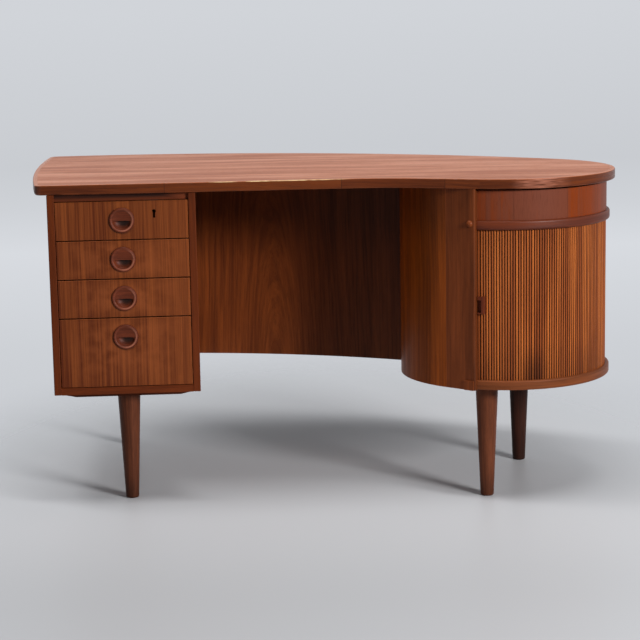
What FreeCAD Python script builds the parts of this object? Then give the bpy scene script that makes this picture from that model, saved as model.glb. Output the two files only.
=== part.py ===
import FreeCAD, Part
import math
import os
from types import SimpleNamespace
import Sketcher

# A kidney-shaped writing desk: drawers in the left pedestal, a round tambour cabinet on the right.
# The origin is on the floor, under the middle of the top. +X runs to the right, -Y is the sitter's side.

os.makedirs("parts", exist_ok=True)
doc = FreeCAD.newDocument("Desk")

# Driving sizes in millimetres and degrees. Angles round the cabinet are counted from the sitter's side.
sizes = {
    # Writing top
    "desk_length": 1365,
    "desk_height": 730,
    "top_thickness": 22,
    "lipping_width": 10,
    "round_end_radius": 252,
    "back_bow_radius": 1736,
    "back_bow_angle": 144.2,
    "left_end_radius": 3730,
    "left_end_crest": 318,
    "front_edge_angle": 2.9,
    "front_overhang": 5.5,
    "nose_angle": 17.85,
    "hollow_radius": 390,
    "front_corner_radius": 16,
    "rear_corner_radius": 24,
    # Drawer pedestal
    "ground_clearance": 258,
    "pedestal_inset": 85.5,
    "pedestal_setback": 43.3,
    "pedestal_angle": 3.6,
    "pedestal_width": 327,
    "pedestal_rear_inset": 76,
    "side_thickness": 16,
    "floor_thickness": 16,
    "back_thickness": 10,
    "rail_height": 15.5,
    "rail_width": 60,
    "rail_recess": 8,
    "batten_margin": 4,
    "batten_bevel": 42,
    "batten_end": 5.4,
    "batten_width": 56,
    "batten_thickness": 14,
    # Drawers
    "small_drawer_share": 0.2084,
    "front_gap": 1.3,
    "front_recess": 1,
    "front_thickness": 18,
    "drawer_rear_room": 105,
    "drawer_wall": 12,
    "drawer_side_gap": 1.5,
    "drawer_side_drop": 12,
    "drawer_side_lift": 5,
    "drawer_floor": 5,
    "drawer_floor_rise": 6,
    "drawer_floor_groove": 5,
    "runner_depth": 8,
    "runner_height": 12,
    "runner_rise": 24,
    "runner_play": 0.3,
    # Turned pulls
    "pull_diameter": 56,
    "pull_seat_depth": 14,
    "pull_proud": 4,
    "pull_rim": 3,
    "pull_bead": 3.4,
    "pull_bead_drop": 1.5,
    "pull_dish": 3,
    "pull_lip_drop": 2.2,
    "pull_lip_slope": 25,
    "scoop_half_width": 20,
    "scoop_half_height": 16.8,
    "scoop_centre_drop": 3.8,
    "scoop_depth": 12,
    # Lock of the top drawer
    "lock_offset": 71.5,
    "lock_width": 44,
    "lock_height": 38,
    "lock_thickness": 12,
    "lock_let_in": 8,
    "keyhole_drop": 23.5,
    "keyhole_diameter": 8,
    "keyhole_slot_width": 5,
    "keyhole_slot_length": 15,
    "bolt_width": 16,
    "bolt_thickness": 5,
    "bolt_length": 14,
    "bolt_travel": 8,
    "bolt_inset": 1,
    "bolt_play": 0.4,
    # Legs
    "leg_top_diameter": 51.4,
    "leg_foot_diameter": 30.2,
    "leg_foot_rounding": 4,
    "leg_setback": 72,
    "rear_leg_shift": 19,
    "spigot_diameter": 24,
    "spigot_depth": 12,
    "spigot_play": 0.2,
    "cabinet_leg_circle": 172,
    "cabinet_leg_angle": 18,
    "cabinet_leg_shift": 2.9,
    # Round cabinet
    "door_middle_angle": 70,
    "door_half_angle": 90.3,
    "post_angle": 17.7,
    "post_rounding": 4,
    "cabinet_wall_radius": 233.3,
    "panel_thickness": 8.5,
    "base_thickness": 21.3,
    "rim_width": 7.7,
    "rim_rounding": 3.5,
    "groove_depth": 8.3,
    "bead_drop": 92.3,
    "bead_height": 21.7,
    "bead_width": 7.4,
    "bead_rounding": 5,
    "frieze_height": 65.6,
    "frieze_thickness": 5,
    "cap_board_thickness": 15,
    "cap_board_inset": 13,
    "liner_thickness": 4,
    "liner_gap": 1,
    "liner_end_angle": 4,
    "shelf_thickness": 14,
    "shelf_share": 0.472,
    "cap_diameter": 16,
    "cap_height": 6,
    "cap_rise": 15,
    "cap_from_edge": 14,
    "foot_block_width": 24,
    "foot_block_proud": 3,
    # Tambour door
    "tambour_play": 1,
    "slat_count": 120,
    "slat_pitch_angle": 1.484,
    "slat_gap": 0.6,
    "slat_depth": 6.8,
    "slat_crown": 1.6,
    "canvas_thickness": 1,
    "stile_angle": 2.7,
    "stile_tuck_angle": 1.2,
    "door_end_play": 0.4,
    "door_pull_share": 0.448,
    "door_pull_height": 38,
    "door_pull_angle": 4,
    "door_pull_depth": 10,
    "door_pull_wall": 2.5,
    "door_pull_slope": 5,
    "door_pull_gap_angle": 0.5,
    # Kneehole and rear bay
    "kneehole_setback": 258,
    "kneehole_thickness": 16,
    "bay_thickness": 16,
    "bay_shelf_share": 0.471,
    "bay_overhang": 56,
    # Shared fits
    "joint_gap": 0.2,
    "cut_overrun": 5,
}

sheet = doc.addObject("Spreadsheet::Sheet", "Sizes")
for row, (alias, number) in enumerate(sizes.items(), start=1):
    sheet.set(f"A{row}", alias)
    sheet.set(f"B{row}", str(number))
    sheet.setAlias(f"B{row}", alias)
doc.recompute()


class Size:
    """A number together with the spreadsheet expression that gives it."""

    def __init__(self, number, text):
        self.number = float(number)
        self.text = text

    def __add__(self, other):
        other = as_size(other)
        return Size(self.number + other.number, f"({self.text} + {other.text})")

    def __sub__(self, other):
        other = as_size(other)
        return Size(self.number - other.number, f"({self.text} - {other.text})")

    def __mul__(self, other):
        other = as_size(other)
        return Size(self.number * other.number, f"({self.text} * {other.text})")

    def __truediv__(self, other):
        other = as_size(other)
        return Size(self.number / other.number, f"({self.text} / {other.text})")

    def __neg__(self):
        return Size(-self.number, f"(-1 * {self.text})")

    __radd__ = __add__
    __rmul__ = __mul__

    def __rsub__(self, other):
        return as_size(other) - self


def as_size(value):
    return value if isinstance(value, Size) else Size(value, repr(float(value)))


def number_of(value):
    return as_size(value).number


def cosine(angle):
    return Size(math.cos(math.radians(angle.number)), f"cos({angle.text})")


def sine(angle):
    return Size(math.sin(math.radians(angle.number)), f"sin({angle.text})")


def tangent(angle):
    return Size(math.tan(math.radians(angle.number)), f"tan({angle.text})")


s = SimpleNamespace(**{alias: Size(number, f"Sizes.{alias}") for alias, number in sizes.items()})
zero = Size(0, "0")
right_angle = Size(90, "90")
full_turn = Size(360, "360")


class Frame:
    """A place on the floor and a turn about the vertical that pieces are set out from."""

    def __init__(self, x, y, angle):
        self.x = as_size(x)
        self.y = as_size(y)
        self.angle = as_size(angle)

    def at(self, x, y):
        """The place on the floor of a point that is given along and across this frame."""
        along, across = cosine(self.angle), sine(self.angle)
        return self.x + x * along - y * across, self.y + x * across + y * along


def bind(thing, name, value):
    thing.setExpression(name, as_size(value).text)


def seat(thing, frame, place, turn=zero, tilt=zero):
    """Set a piece at a place in a frame, turned about the vertical after a tilt about its own X axis."""
    x, y = frame.at(as_size(place[0]), as_size(place[1]))
    spot = f"vector({x.text}; {y.text}; {as_size(place[2]).text})"
    turned_by = f"rotation({(frame.angle + turn).text}; 0; {as_size(tilt).text})"
    thing.setExpression("Placement", f"placement({spot}; {turned_by})")
    return thing


def board(label, frame, place, spans, turn=zero, tilt=zero):
    """A rectangular board, given by its corner and its three spans."""
    box = doc.addObject("Part::Box", label)
    for name, span in zip(("Length", "Width", "Height"), spans):
        bind(box, name, span)
    return seat(box, frame, place, turn, tilt)


def rod(label, frame, place, diameter, length, tilt=zero, start=zero, sweep=full_turn):
    """A cylinder, or a sector of one that starts at an angle counted from the sitter's side."""
    cylinder = doc.addObject("Part::Cylinder", label)
    bind(cylinder, "Radius", diameter / 2)
    bind(cylinder, "Height", length)
    bind(cylinder, "Angle", sweep)
    return seat(cylinder, frame, place, start, tilt)


def cut(label, base, *tools):
    """The base with every tool taken out of it."""
    for step, tool in enumerate(tools, start=1):
        last = step == len(tools)
        result = doc.addObject("Part::Cut", label if last else f"{label}_cut_{step}")
        result.Base = base
        result.Tool = tool
        base = result
    return base


def common(label, first, second):
    result = doc.addObject("Part::Common", label)
    result.Base = first
    result.Tool = second
    return result


def group(label, members):
    """Separate alike solids that make one sub-part."""
    result = doc.addObject("Part::Compound", label)
    result.Links = members
    return result


def ring(label, outer, inner, level, height, start=zero, sweep=full_turn):
    """A wall round the cabinet's axis between two radii."""
    centre = (zero, zero, level)
    below = (zero, zero, level - s.cut_overrun)
    disc = rod(f"{label}_disc", cabinet, centre, outer * 2, height, zero, start - right_angle, sweep)
    core = rod(f"{label}_core", cabinet, below, inner * 2, height + s.cut_overrun * 2)
    return cut(label, disc, core)


def draw(sketch, corners):
    """Draw a closed outline. Each corner is x, y and the bend of the edge that leaves it.

    A bend is None for a straight edge, else a radius: plus bends left, minus bends right.
    """
    plane = [FreeCAD.Vector(number_of(x), number_of(y), 0) for x, y, bend in corners]
    ends = []
    for index, (x, y, bend) in enumerate(corners):
        start, stop = plane[index], plane[(index + 1) % len(plane)]
        if bend is None:
            sketch.addGeometry(Part.LineSegment(start, stop), False)
            ends.append((1, 2))
            continue
        radius = number_of(bend)
        chord = stop - start
        to_left = FreeCAD.Vector(-chord.y, chord.x, 0).normalize()
        reach = math.sqrt(max(radius * radius - chord.Length ** 2 / 4, 0))
        centre = (start + stop) / 2 + to_left * math.copysign(reach, radius)
        first, last = (start, stop) if radius > 0 else (stop, start)
        angles = [math.atan2(point.y - centre.y, point.x - centre.x) for point in (first, last)]
        circle = Part.Circle(centre, FreeCAD.Vector(0, 0, 1), abs(radius))
        sketch.addGeometry(Part.ArcOfCircle(circle, *angles), False)
        ends.append((1, 2) if radius > 0 else (2, 1))
    for index, (x, y, bend) in enumerate(corners):
        following = (index + 1) % len(corners)
        sketch.addConstraint(
            Sketcher.Constraint("Coincident", index, ends[index][1], following, ends[following][0])
        )
        for kind, value in (("DistanceX", x), ("DistanceY", y)):
            dimension(sketch, (kind, -1, 1, index, ends[index][0]), value)
        if bend is not None:
            dimension(sketch, ("Radius", index), bend if number_of(bend) > 0 else -bend)


def dimension(sketch, ends, value):
    """Add a dimension to a sketch, tied to the spreadsheet where its value is."""
    index = sketch.addConstraint(Sketcher.Constraint(*ends, number_of(value)))
    if isinstance(value, Size):
        sketch.setExpression(f"Constraints[{index}]", value.text)


def sketched_body(label, role, corners):
    """A body with one closed outline drawn on a plane of its own origin."""
    body = doc.addObject("PartDesign::Body", label)
    sketch = body.newObject("Sketcher::SketchObject", f"{label}_outline")
    plane = next(feature for feature in body.Origin.OriginFeatures if feature.Role == role)
    sketch.AttachmentSupport = [(plane, "")]
    sketch.MapMode = "FlatFace"
    draw(sketch, corners)
    return body, sketch


def slab(label, frame, corners, level, thickness):
    """A flat piece with an outline in plan, padded upwards from its level."""
    body, sketch = sketched_body(label, "XY_Plane", corners)
    pad = body.newObject("PartDesign::Pad", f"{label}_pad")
    pad.Profile = sketch
    bind(pad, "Length", thickness)
    return seat(body, frame, (zero, zero, level))


def turned(label, frame, place, corners, tilt=zero, start=zero, sweep=full_turn):
    """A piece turned about its axis from a half section of radius and height."""
    body, sketch = sketched_body(label, "XZ_Plane", corners)
    turning = body.newObject("PartDesign::Revolution", f"{label}_turning")
    turning.Profile = sketch
    turning.ReferenceAxis = (sketch, ["V_Axis"])
    bind(turning, "Angle", sweep)
    return seat(body, frame, place, start, tilt)


def heading(angle):
    """The plan direction of an angle counted from the sitter's side towards the right."""
    turn = math.radians(angle)
    return FreeCAD.Vector(math.sin(turn), -math.cos(turn), 0)


def line_meets_circle(point, direction, centre, radius):
    """Where a line from a point meets a circle on its way out."""
    offset = point - centre
    half = offset.dot(direction)
    run = -half + math.sqrt(half * half - offset.dot(offset) + radius * radius)
    return point + direction * run


def circles_meet(first, first_radius, second, second_radius, side):
    """Where two circles meet, on the left (1) or the right (-1) of the way from first to second."""
    way = second - first
    gap = way.Length
    way = way.normalize()
    along = (gap * gap + first_radius ** 2 - second_radius ** 2) / (2 * gap)
    off = math.sqrt(first_radius ** 2 - along ** 2) * side
    return first + way * along + FreeCAD.Vector(-way.y, way.x, 0) * off


def bare(corner_list):
    """Outline corners from plan points and bends."""
    return [(point.x, point.y, bend) for point, bend in corner_list]


# Levels, depth and frames that follow from the driving sizes
under_top = s.desk_height - s.top_thickness
bow_rise = s.back_bow_radius - s.round_end_radius
desk_depth = s.back_bow_radius + s.round_end_radius + bow_rise * cosine(s.back_bow_angle)
floor = Frame(zero, zero, zero)
left_end, right_end = -s.desk_length / 2, s.desk_length / 2
front_side = -desk_depth / 2
pedestal = Frame(left_end + s.pedestal_inset, front_side + s.pedestal_setback, s.pedestal_angle)
cabinet = Frame(right_end - s.round_end_radius, front_side + s.round_end_radius, zero)
nodes = []

# Centres of the top's round stretches, which every line parallel to its edge shares
end_centre = FreeCAD.Vector(cabinet.x.number, cabinet.y.number, 0)
bow_centre = end_centre - heading(s.back_bow_angle.number) * bow_rise.number
left_centre = FreeCAD.Vector(left_end.number + s.left_end_radius.number, s.left_end_crest.number, 0)
front_facing = heading(s.front_edge_angle.number)
nose_facing = heading(-s.nose_angle.number)
pedestal_middle = FreeCAD.Vector(*[size.number for size in pedestal.at(s.pedestal_width / 2, zero)], 0)
front_reach = pedestal_middle.dot(front_facing) + s.front_overhang.number
nose_reach = end_centre.dot(nose_facing) + s.round_end_radius.number


def hollow_centre():
    """The centre of the hollow stretch, on the sitter's side of the front edge and the nose."""
    first = front_reach + s.hollow_radius.number
    second = nose_reach + s.hollow_radius.number
    spread = front_facing.x * nose_facing.y - front_facing.y * nose_facing.x
    return FreeCAD.Vector(
        (first * nose_facing.y - second * front_facing.y) / spread,
        (second * front_facing.x - first * nose_facing.x) / spread,
        0,
    )


def front_corner_centre():
    """The centre of the rounded corner between the front edge and the left end."""
    inside = front_reach - s.front_corner_radius.number
    along_front = FreeCAD.Vector(front_facing.y, -front_facing.x, 0)
    radius = s.left_end_radius.number - s.front_corner_radius.number
    return line_meets_circle(front_facing * inside, along_front, left_centre, radius)


rear_corner = circles_meet(
    bow_centre,
    s.back_bow_radius.number - s.rear_corner_radius.number,
    left_centre,
    s.left_end_radius.number - s.rear_corner_radius.number,
    1,
)
front_corner = front_corner_centre()
hollow = hollow_centre()


def top_edge(inset):
    """The corners of the top's edge, moved inwards by an inset, from the front left corner on."""
    hollow_radius = s.hollow_radius + inset
    end_radius = s.round_end_radius - inset
    bow_radius = s.back_bow_radius - inset
    left_radius = s.left_end_radius - inset
    to_rear = (rear_corner - bow_centre).normalize()
    to_left = (rear_corner - left_centre).normalize()
    to_front = (front_corner - left_centre).normalize()
    front_radius = s.front_corner_radius - inset
    return [
        (front_corner + front_facing * front_radius.number, None),
        (hollow - front_facing * hollow_radius.number, -hollow_radius),
        (hollow - nose_facing * hollow_radius.number, None),
        (end_centre + nose_facing * end_radius.number, end_radius),
        (end_centre + heading(s.back_bow_angle.number) * end_radius.number, bow_radius),
        (bow_centre + to_rear * bow_radius.number, s.rear_corner_radius - inset),
        (left_centre + to_left * left_radius.number, left_radius),
        (left_centre + to_front * left_radius.number, front_radius),
    ]


def lipping_strip(first, last):
    """The outline of a length of lipping, from one corner of the top's edge to a later one."""
    outer, inner = top_edge(zero), top_edge(s.lipping_width)
    run = list(range(first, last + 1))
    there = [outer[corner % len(outer)] for corner in run]
    back = [inner[corner % len(inner)] for corner in run]
    corners = there[:-1] + [(there[-1][0], None)]
    for later, earlier in zip(back[:0:-1], back[-2::-1]):
        corners.append((later[0], None if earlier[1] is None else -earlier[1]))
    return bare(corners + [(back[0][0], None)])


def make_top():
    nodes.append(slab("desk_top", floor, bare(top_edge(s.lipping_width)), under_top, s.top_thickness))
    for label, first, last in (("front", 0, 3), ("end", 3, 4), ("back", 4, 5), ("left", 5, 8)):
        strip = lipping_strip(first, last)
        nodes.append(slab(f"top_lipping_{label}", floor, strip, under_top, s.top_thickness))


def leg(label, frame, place, height):
    """A tapered leg with a rounded foot and a spigot on its shoulder."""
    top, foot, spigot = s.leg_top_diameter / 2, s.leg_foot_diameter / 2, s.spigot_diameter / 2
    spigot_length = under_carcass - height + s.spigot_depth
    corners = [
        (zero, zero, None),
        (foot - s.leg_foot_rounding, zero, s.leg_foot_rounding),
        (foot, s.leg_foot_rounding, None),
        (top, height, None),
        (spigot, height, None),
        (spigot, height + spigot_length, None),
        (zero, height + spigot_length, None),
    ]
    return turned(label, frame, (*place, zero), corners)


def spigot_hole(label, frame, place):
    """The hole that a leg's spigot stands in, through a batten and into the board above it."""
    depth = s.batten_thickness + s.spigot_depth + s.spigot_play
    level = under_carcass - s.batten_thickness
    return rod(label, frame, (*place, level), s.spigot_diameter + s.spigot_play * 2, depth)


def batten(label, setback):
    """A bar under the pedestal with bevelled ends, lying across it."""
    half = s.pedestal_width / 2 - s.batten_margin
    corners = [
        (s.batten_bevel - half, zero, None),
        (half - s.batten_bevel, zero, None),
        (half, s.batten_thickness - s.batten_end, None),
        (half, s.batten_thickness, None),
        (-half, s.batten_thickness, None),
        (-half, s.batten_thickness - s.batten_end, None),
    ]
    body, sketch = sketched_body(label, "XZ_Plane", corners)
    pad = body.newObject("PartDesign::Pad", f"{label}_pad")
    pad.Profile = sketch
    pad.Midplane = True
    bind(pad, "Length", s.batten_width)
    return seat(body, pedestal, (s.pedestal_width / 2, setback, under_carcass - s.batten_thickness))


under_carcass = s.ground_clearance
inner_width = s.pedestal_width - s.side_thickness * 2
pedestal_depth = desk_depth - s.pedestal_setback - s.pedestal_rear_inset
carcass_height = under_top - s.ground_clearance
opening_floor = s.ground_clearance + s.floor_thickness
opening_top = under_top - s.rail_height


def make_pedestal():
    side = (s.side_thickness, pedestal_depth, carcass_height)
    far_side = s.pedestal_width - s.side_thickness
    nodes.append(board("pedestal_outer_side", pedestal, (zero, zero, under_carcass), side))
    nodes.append(board("pedestal_inner_side", pedestal, (far_side, zero, under_carcass), side))
    rear = pedestal_depth - s.back_thickness
    back_place = (s.side_thickness, rear, under_carcass)
    back_span = (inner_width, s.back_thickness, carcass_height)
    nodes.append(board("pedestal_back", pedestal, back_place, back_span))

    front_leg = (s.pedestal_width / 2, s.leg_setback)
    rear_leg = (s.pedestal_width / 2 - s.rear_leg_shift, pedestal_depth - s.leg_setback)
    holes = [
        spigot_hole("front_spigot_hole", pedestal, front_leg),
        spigot_hole("rear_spigot_hole", pedestal, rear_leg),
    ]
    floor_place = (s.side_thickness, zero, under_carcass)
    blank = board("pedestal_bottom_blank", pedestal, floor_place, (inner_width, rear, s.floor_thickness))
    nodes.append(cut("pedestal_bottom", blank, *holes))
    bars = [
        cut("front_batten", batten("front_batten_blank", front_leg[1]), holes[0]),
        cut("rear_batten", batten("rear_batten_blank", rear_leg[1]), holes[1]),
    ]
    nodes.append(group("pedestal_battens", bars))
    leg_height = under_carcass - s.batten_thickness
    nodes.append(leg("leg_front_left", pedestal, front_leg, leg_height))
    nodes.append(leg("leg_rear_left", pedestal, rear_leg, leg_height))

    rail_place = (s.side_thickness, s.rail_recess, opening_top)
    rail = board("rail_blank", pedestal, rail_place, (inner_width, s.rail_width, s.rail_height))
    mortise_place = (
        lock_middle - s.bolt_width / 2 - s.bolt_play,
        bolt_front - s.bolt_play,
        opening_top - s.cut_overrun,
    )
    mortise_span = (
        s.bolt_width + s.bolt_play * 2,
        s.bolt_thickness + s.bolt_play * 2,
        s.bolt_travel + s.bolt_play + s.cut_overrun,
    )
    nodes.append(cut("pedestal_rail", rail, board("bolt_mortise", pedestal, mortise_place, mortise_span)))


# Drawers, counted from the top
drawer_count = 4
small_drawer_pitch = (opening_top - opening_floor) * s.small_drawer_share
drawer_bottoms = [opening_top - small_drawer_pitch * place for place in range(1, drawer_count)]
drawer_bottoms.append(opening_floor)
drawer_tops = [opening_top] + drawer_bottoms[:-1]
front_back = s.front_recess + s.front_thickness
box_width = inner_width - s.drawer_side_gap * 2
box_length = pedestal_depth - s.drawer_rear_room - s.front_thickness
lock_middle = s.pedestal_width / 2 + s.lock_offset
bolt_front = front_back - s.lock_let_in + s.bolt_inset
runner_reach = s.runner_depth - s.drawer_side_gap


def runner_level(bottom):
    """The underside of the runners of a drawer."""
    return bottom + s.runner_rise


def make_runners():
    strips = []
    span = (s.runner_depth, box_length, s.runner_height)
    for count, bottom in enumerate(drawer_bottoms, start=1):
        for side, x in (
            ("left", s.side_thickness),
            ("right", s.pedestal_width - s.side_thickness - s.runner_depth),
        ):
            place = (x, front_back + s.runner_play, runner_level(bottom))
            strips.append(board(f"runner_{count}_{side}", pedestal, place, span))
    nodes.append(group("drawer_runners", strips))


def drawer_side(label, x, inward, bottom, height):
    """A drawer side, grooved outside for its runner and inside for the drawer's floor."""
    level = bottom + s.drawer_side_lift
    blank = board(f"{label}_blank", pedestal, (x, front_back, level), (s.drawer_wall, box_length, height))
    groove_depth = runner_reach + s.runner_play
    far = s.drawer_wall - groove_depth
    groove_x = x - s.cut_overrun if inward > 0 else x + far
    groove_place = (groove_x, front_back - s.cut_overrun, runner_level(bottom) - s.runner_play)
    groove_span = (
        groove_depth + s.cut_overrun,
        box_length + s.cut_overrun * 2,
        s.runner_height + s.runner_play * 2,
    )
    slot_x = x + s.drawer_wall - s.drawer_floor_groove if inward > 0 else x - s.cut_overrun
    slot_place = (slot_x, front_back - s.cut_overrun, level + s.drawer_floor_rise)
    slot_span = (s.drawer_floor_groove + s.cut_overrun, box_length + s.cut_overrun * 2, s.drawer_floor)
    return cut(
        label,
        blank,
        board(f"{label}_runner_groove", pedestal, groove_place, groove_span),
        board(f"{label}_floor_groove", pedestal, slot_place, slot_span),
    )


def drawer_pull(label, level):
    """A turned disc with a round rim, a dished face and a finger scoop under its lip."""
    radius = s.pull_diameter / 2
    height = s.pull_seat_depth + s.pull_proud
    crown = radius - s.pull_rim
    face = crown - s.pull_bead
    bead_radius = (s.pull_bead * s.pull_bead + s.pull_bead_drop * s.pull_bead_drop) / (s.pull_bead_drop * 2)
    fall = s.pull_dish - s.pull_bead_drop
    dish_radius = (face * face + fall * fall) / (fall * 2)
    corners = [
        (zero, zero, None),
        (radius, zero, None),
        (radius, height - s.pull_rim, s.pull_rim),
        (crown, height, bead_radius),
        (face, height - s.pull_bead_drop, -dish_radius),
        (zero, height - s.pull_dish, None),
    ]
    middle = s.pedestal_width / 2
    seat_depth = s.front_recess + s.pull_seat_depth
    disc = turned(f"{label}_disc", pedestal, (middle, seat_depth, level), corners, right_angle)
    face_depth = s.front_recess - s.pull_proud
    bowl = doc.addObject("Part::Ellipsoid", f"{label}_bowl")
    for name, span in (
        ("Radius1", s.scoop_half_height),
        ("Radius2", s.scoop_half_width),
        ("Radius3", s.scoop_depth),
    ):
        bind(bowl, name, span)
    bind(bowl, "Angle1", -right_angle)
    bind(bowl, "Angle2", right_angle)
    bind(bowl, "Angle3", full_turn)
    seat(bowl, pedestal, (middle, face_depth, level - s.scoop_centre_drop))
    reach = s.scoop_half_height * 2 + s.scoop_centre_drop
    below_place = (
        middle - radius,
        face_depth - reach * cosine(s.pull_lip_slope),
        level - s.pull_lip_drop - reach * sine(s.pull_lip_slope),
    )
    below = board(
        f"{label}_below_lip",
        pedestal,
        below_place,
        (s.pull_diameter, reach, reach * 2),
        tilt=s.pull_lip_slope - right_angle,
    )
    return cut(label, disc, common(f"{label}_scoop", bowl, below))


def make_lock(top):
    """The lock let into the back of the top drawer's front, its bolt, and the cuts they need."""
    edge = top - s.front_gap
    bottom = edge - s.lock_height
    body_place = (lock_middle - s.lock_width / 2, front_back - s.lock_let_in, bottom)
    case = board("lock_case", pedestal, body_place, (s.lock_width, s.lock_thickness, s.lock_height))
    way_place = (
        lock_middle - s.bolt_width / 2 - s.bolt_play,
        bolt_front - s.bolt_play,
        edge - s.bolt_length - s.bolt_play * 2,
    )
    way_span = (
        s.bolt_width + s.bolt_play * 2,
        s.bolt_thickness + s.bolt_play * 2,
        s.bolt_length + s.bolt_play * 2 + s.cut_overrun,
    )
    bolt_way = board("bolt_way", pedestal, way_place, way_span)
    eye_level = edge - s.keyhole_drop
    eye_place = (lock_middle, front_back + s.cut_overrun, eye_level)
    depth = s.front_thickness + s.cut_overrun * 2
    eye = rod("keyhole_eye", pedestal, eye_place, s.keyhole_diameter, depth, right_angle)
    slot_place = (
        lock_middle - s.keyhole_slot_width / 2,
        s.front_recess - s.cut_overrun,
        eye_level - s.keyhole_slot_length,
    )
    slot_span = (s.keyhole_slot_width, depth, s.keyhole_slot_length)
    slot = board("keyhole_slot", pedestal, slot_place, slot_span)
    nodes.append(cut("lock_body", case, bolt_way, eye, slot))
    bolt_place = (lock_middle - s.bolt_width / 2, bolt_front, edge - s.bolt_length - s.bolt_play)
    nodes.append(board("lock_bolt", pedestal, bolt_place, (s.bolt_width, s.bolt_thickness, s.bolt_length)))
    pocket_span = (s.lock_width, s.lock_let_in + s.cut_overrun, s.lock_height + s.cut_overrun)
    return [board("lock_pocket", pedestal, body_place, pocket_span), eye, slot]


def make_drawers():
    box_left = s.side_thickness + s.drawer_side_gap
    box_right = box_left + box_width - s.drawer_wall
    for count, (bottom, top) in enumerate(zip(drawer_bottoms, drawer_tops), start=1):
        name = f"drawer_{count}"
        pull_level = top - small_drawer_pitch / 2
        front_place = (s.side_thickness + s.front_gap, s.front_recess, bottom + s.front_gap)
        front_span = (inner_width - s.front_gap * 2, s.front_thickness, top - bottom - s.front_gap * 2)
        seat_place = (s.pedestal_width / 2, s.front_recess + s.pull_seat_depth, pull_level)
        hole_diameter = s.pull_diameter + s.joint_gap * 2
        hole_depth = s.pull_seat_depth + s.cut_overrun
        cuts = [rod(f"{name}_pull_hole", pedestal, seat_place, hole_diameter, hole_depth, right_angle)]
        if count == 1:
            cuts += make_lock(top)
        nodes.append(cut(f"{name}_front", board(f"{name}_blank", pedestal, front_place, front_span), *cuts))
        nodes.append(drawer_pull(f"{name}_pull", pull_level))

        height = top - bottom - s.drawer_side_drop - s.drawer_side_lift
        sides = [
            drawer_side(f"{name}_left_side", box_left, 1, bottom, height),
            drawer_side(f"{name}_right_side", box_right, -1, bottom, height),
        ]
        nodes.append(group(f"{name}_sides", sides))
        floor_level = bottom + s.drawer_side_lift + s.drawer_floor_rise
        floor_place = (box_left + s.drawer_wall - s.drawer_floor_groove, front_back, floor_level)
        inside = box_width - s.drawer_wall * 2
        floor_span = (inside + s.drawer_floor_groove * 2, box_length, s.drawer_floor)
        nodes.append(board(f"{name}_bottom", pedestal, floor_place, floor_span))
        back_level = floor_level + s.drawer_floor
        back_place = (box_left + s.drawer_wall, front_back + box_length - s.drawer_wall, back_level)
        back_height = height - s.drawer_floor_rise - s.drawer_floor
        nodes.append(board(f"{name}_back", pedestal, back_place, (inside, s.drawer_wall, back_height)))


# Radii and levels of the round cabinet
wall = s.cabinet_wall_radius
panel_radius = wall + s.panel_thickness
door_start = s.door_middle_angle - s.door_half_angle
door_stop = s.door_middle_angle + s.door_half_angle
door_sweep = s.door_half_angle * 2
base_top = s.ground_clearance + s.base_thickness
bead_level = under_top - s.bead_drop
groove_floor = base_top - s.groove_depth
groove_ceiling = bead_level + s.groove_depth
door_outer = wall - s.tambour_play
canvas_outer = door_outer - s.slat_depth
canvas_inner = canvas_outer - s.canvas_thickness
groove_inner = canvas_inner - s.tambour_play
bead_top = bead_level + s.bead_height
frieze_top = bead_top + s.frieze_height
post_flat = panel_radius * tangent(s.post_angle)
door_height = bead_level - base_top
shelf_level = base_top + door_height * s.shelf_share
door_pull_level = base_top + door_height * s.door_pull_share


def post(label, seam, side):
    """A flat-faced post, tangent to the bent panel at its seam and hollowed to the cabinet's wall."""
    edge_x = wall * sine(s.post_angle)
    edge_y = -(wall * cosine(s.post_angle))
    corners = [
        (zero, -panel_radius, None),
        (post_flat, -panel_radius, None),
        (edge_x, edge_y, -wall),
        (zero, -wall, None),
    ]
    if side < 0:
        corners = [
            (zero, -panel_radius, None),
            (zero, -wall, -wall),
            (-edge_x, edge_y, None),
            (-post_flat, -panel_radius, None),
        ]
    body = slab(label, Frame(cabinet.x, cabinet.y, seam), corners, under_carcass, carcass_height)
    doc.recompute()
    pad = body.Tip
    corner = FreeCAD.Vector(side * post_flat.number, -panel_radius.number, 0)
    names = []
    for index, edge in enumerate(pad.Shape.Edges, start=1):
        ends = [vertex.Point for vertex in edge.Vertexes]
        flat_ends = [FreeCAD.Vector(point.x, point.y, 0) for point in ends]
        if all(point.isEqual(corner, s.joint_gap.number) for point in flat_ends):
            names.append(f"Edge{index}")
    rounding = body.newObject("PartDesign::Fillet", f"{label}_rounding")
    rounding.Base = (pad, names)
    bind(rounding, "Radius", s.post_rounding)
    body.Tip = rounding
    return body


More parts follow.
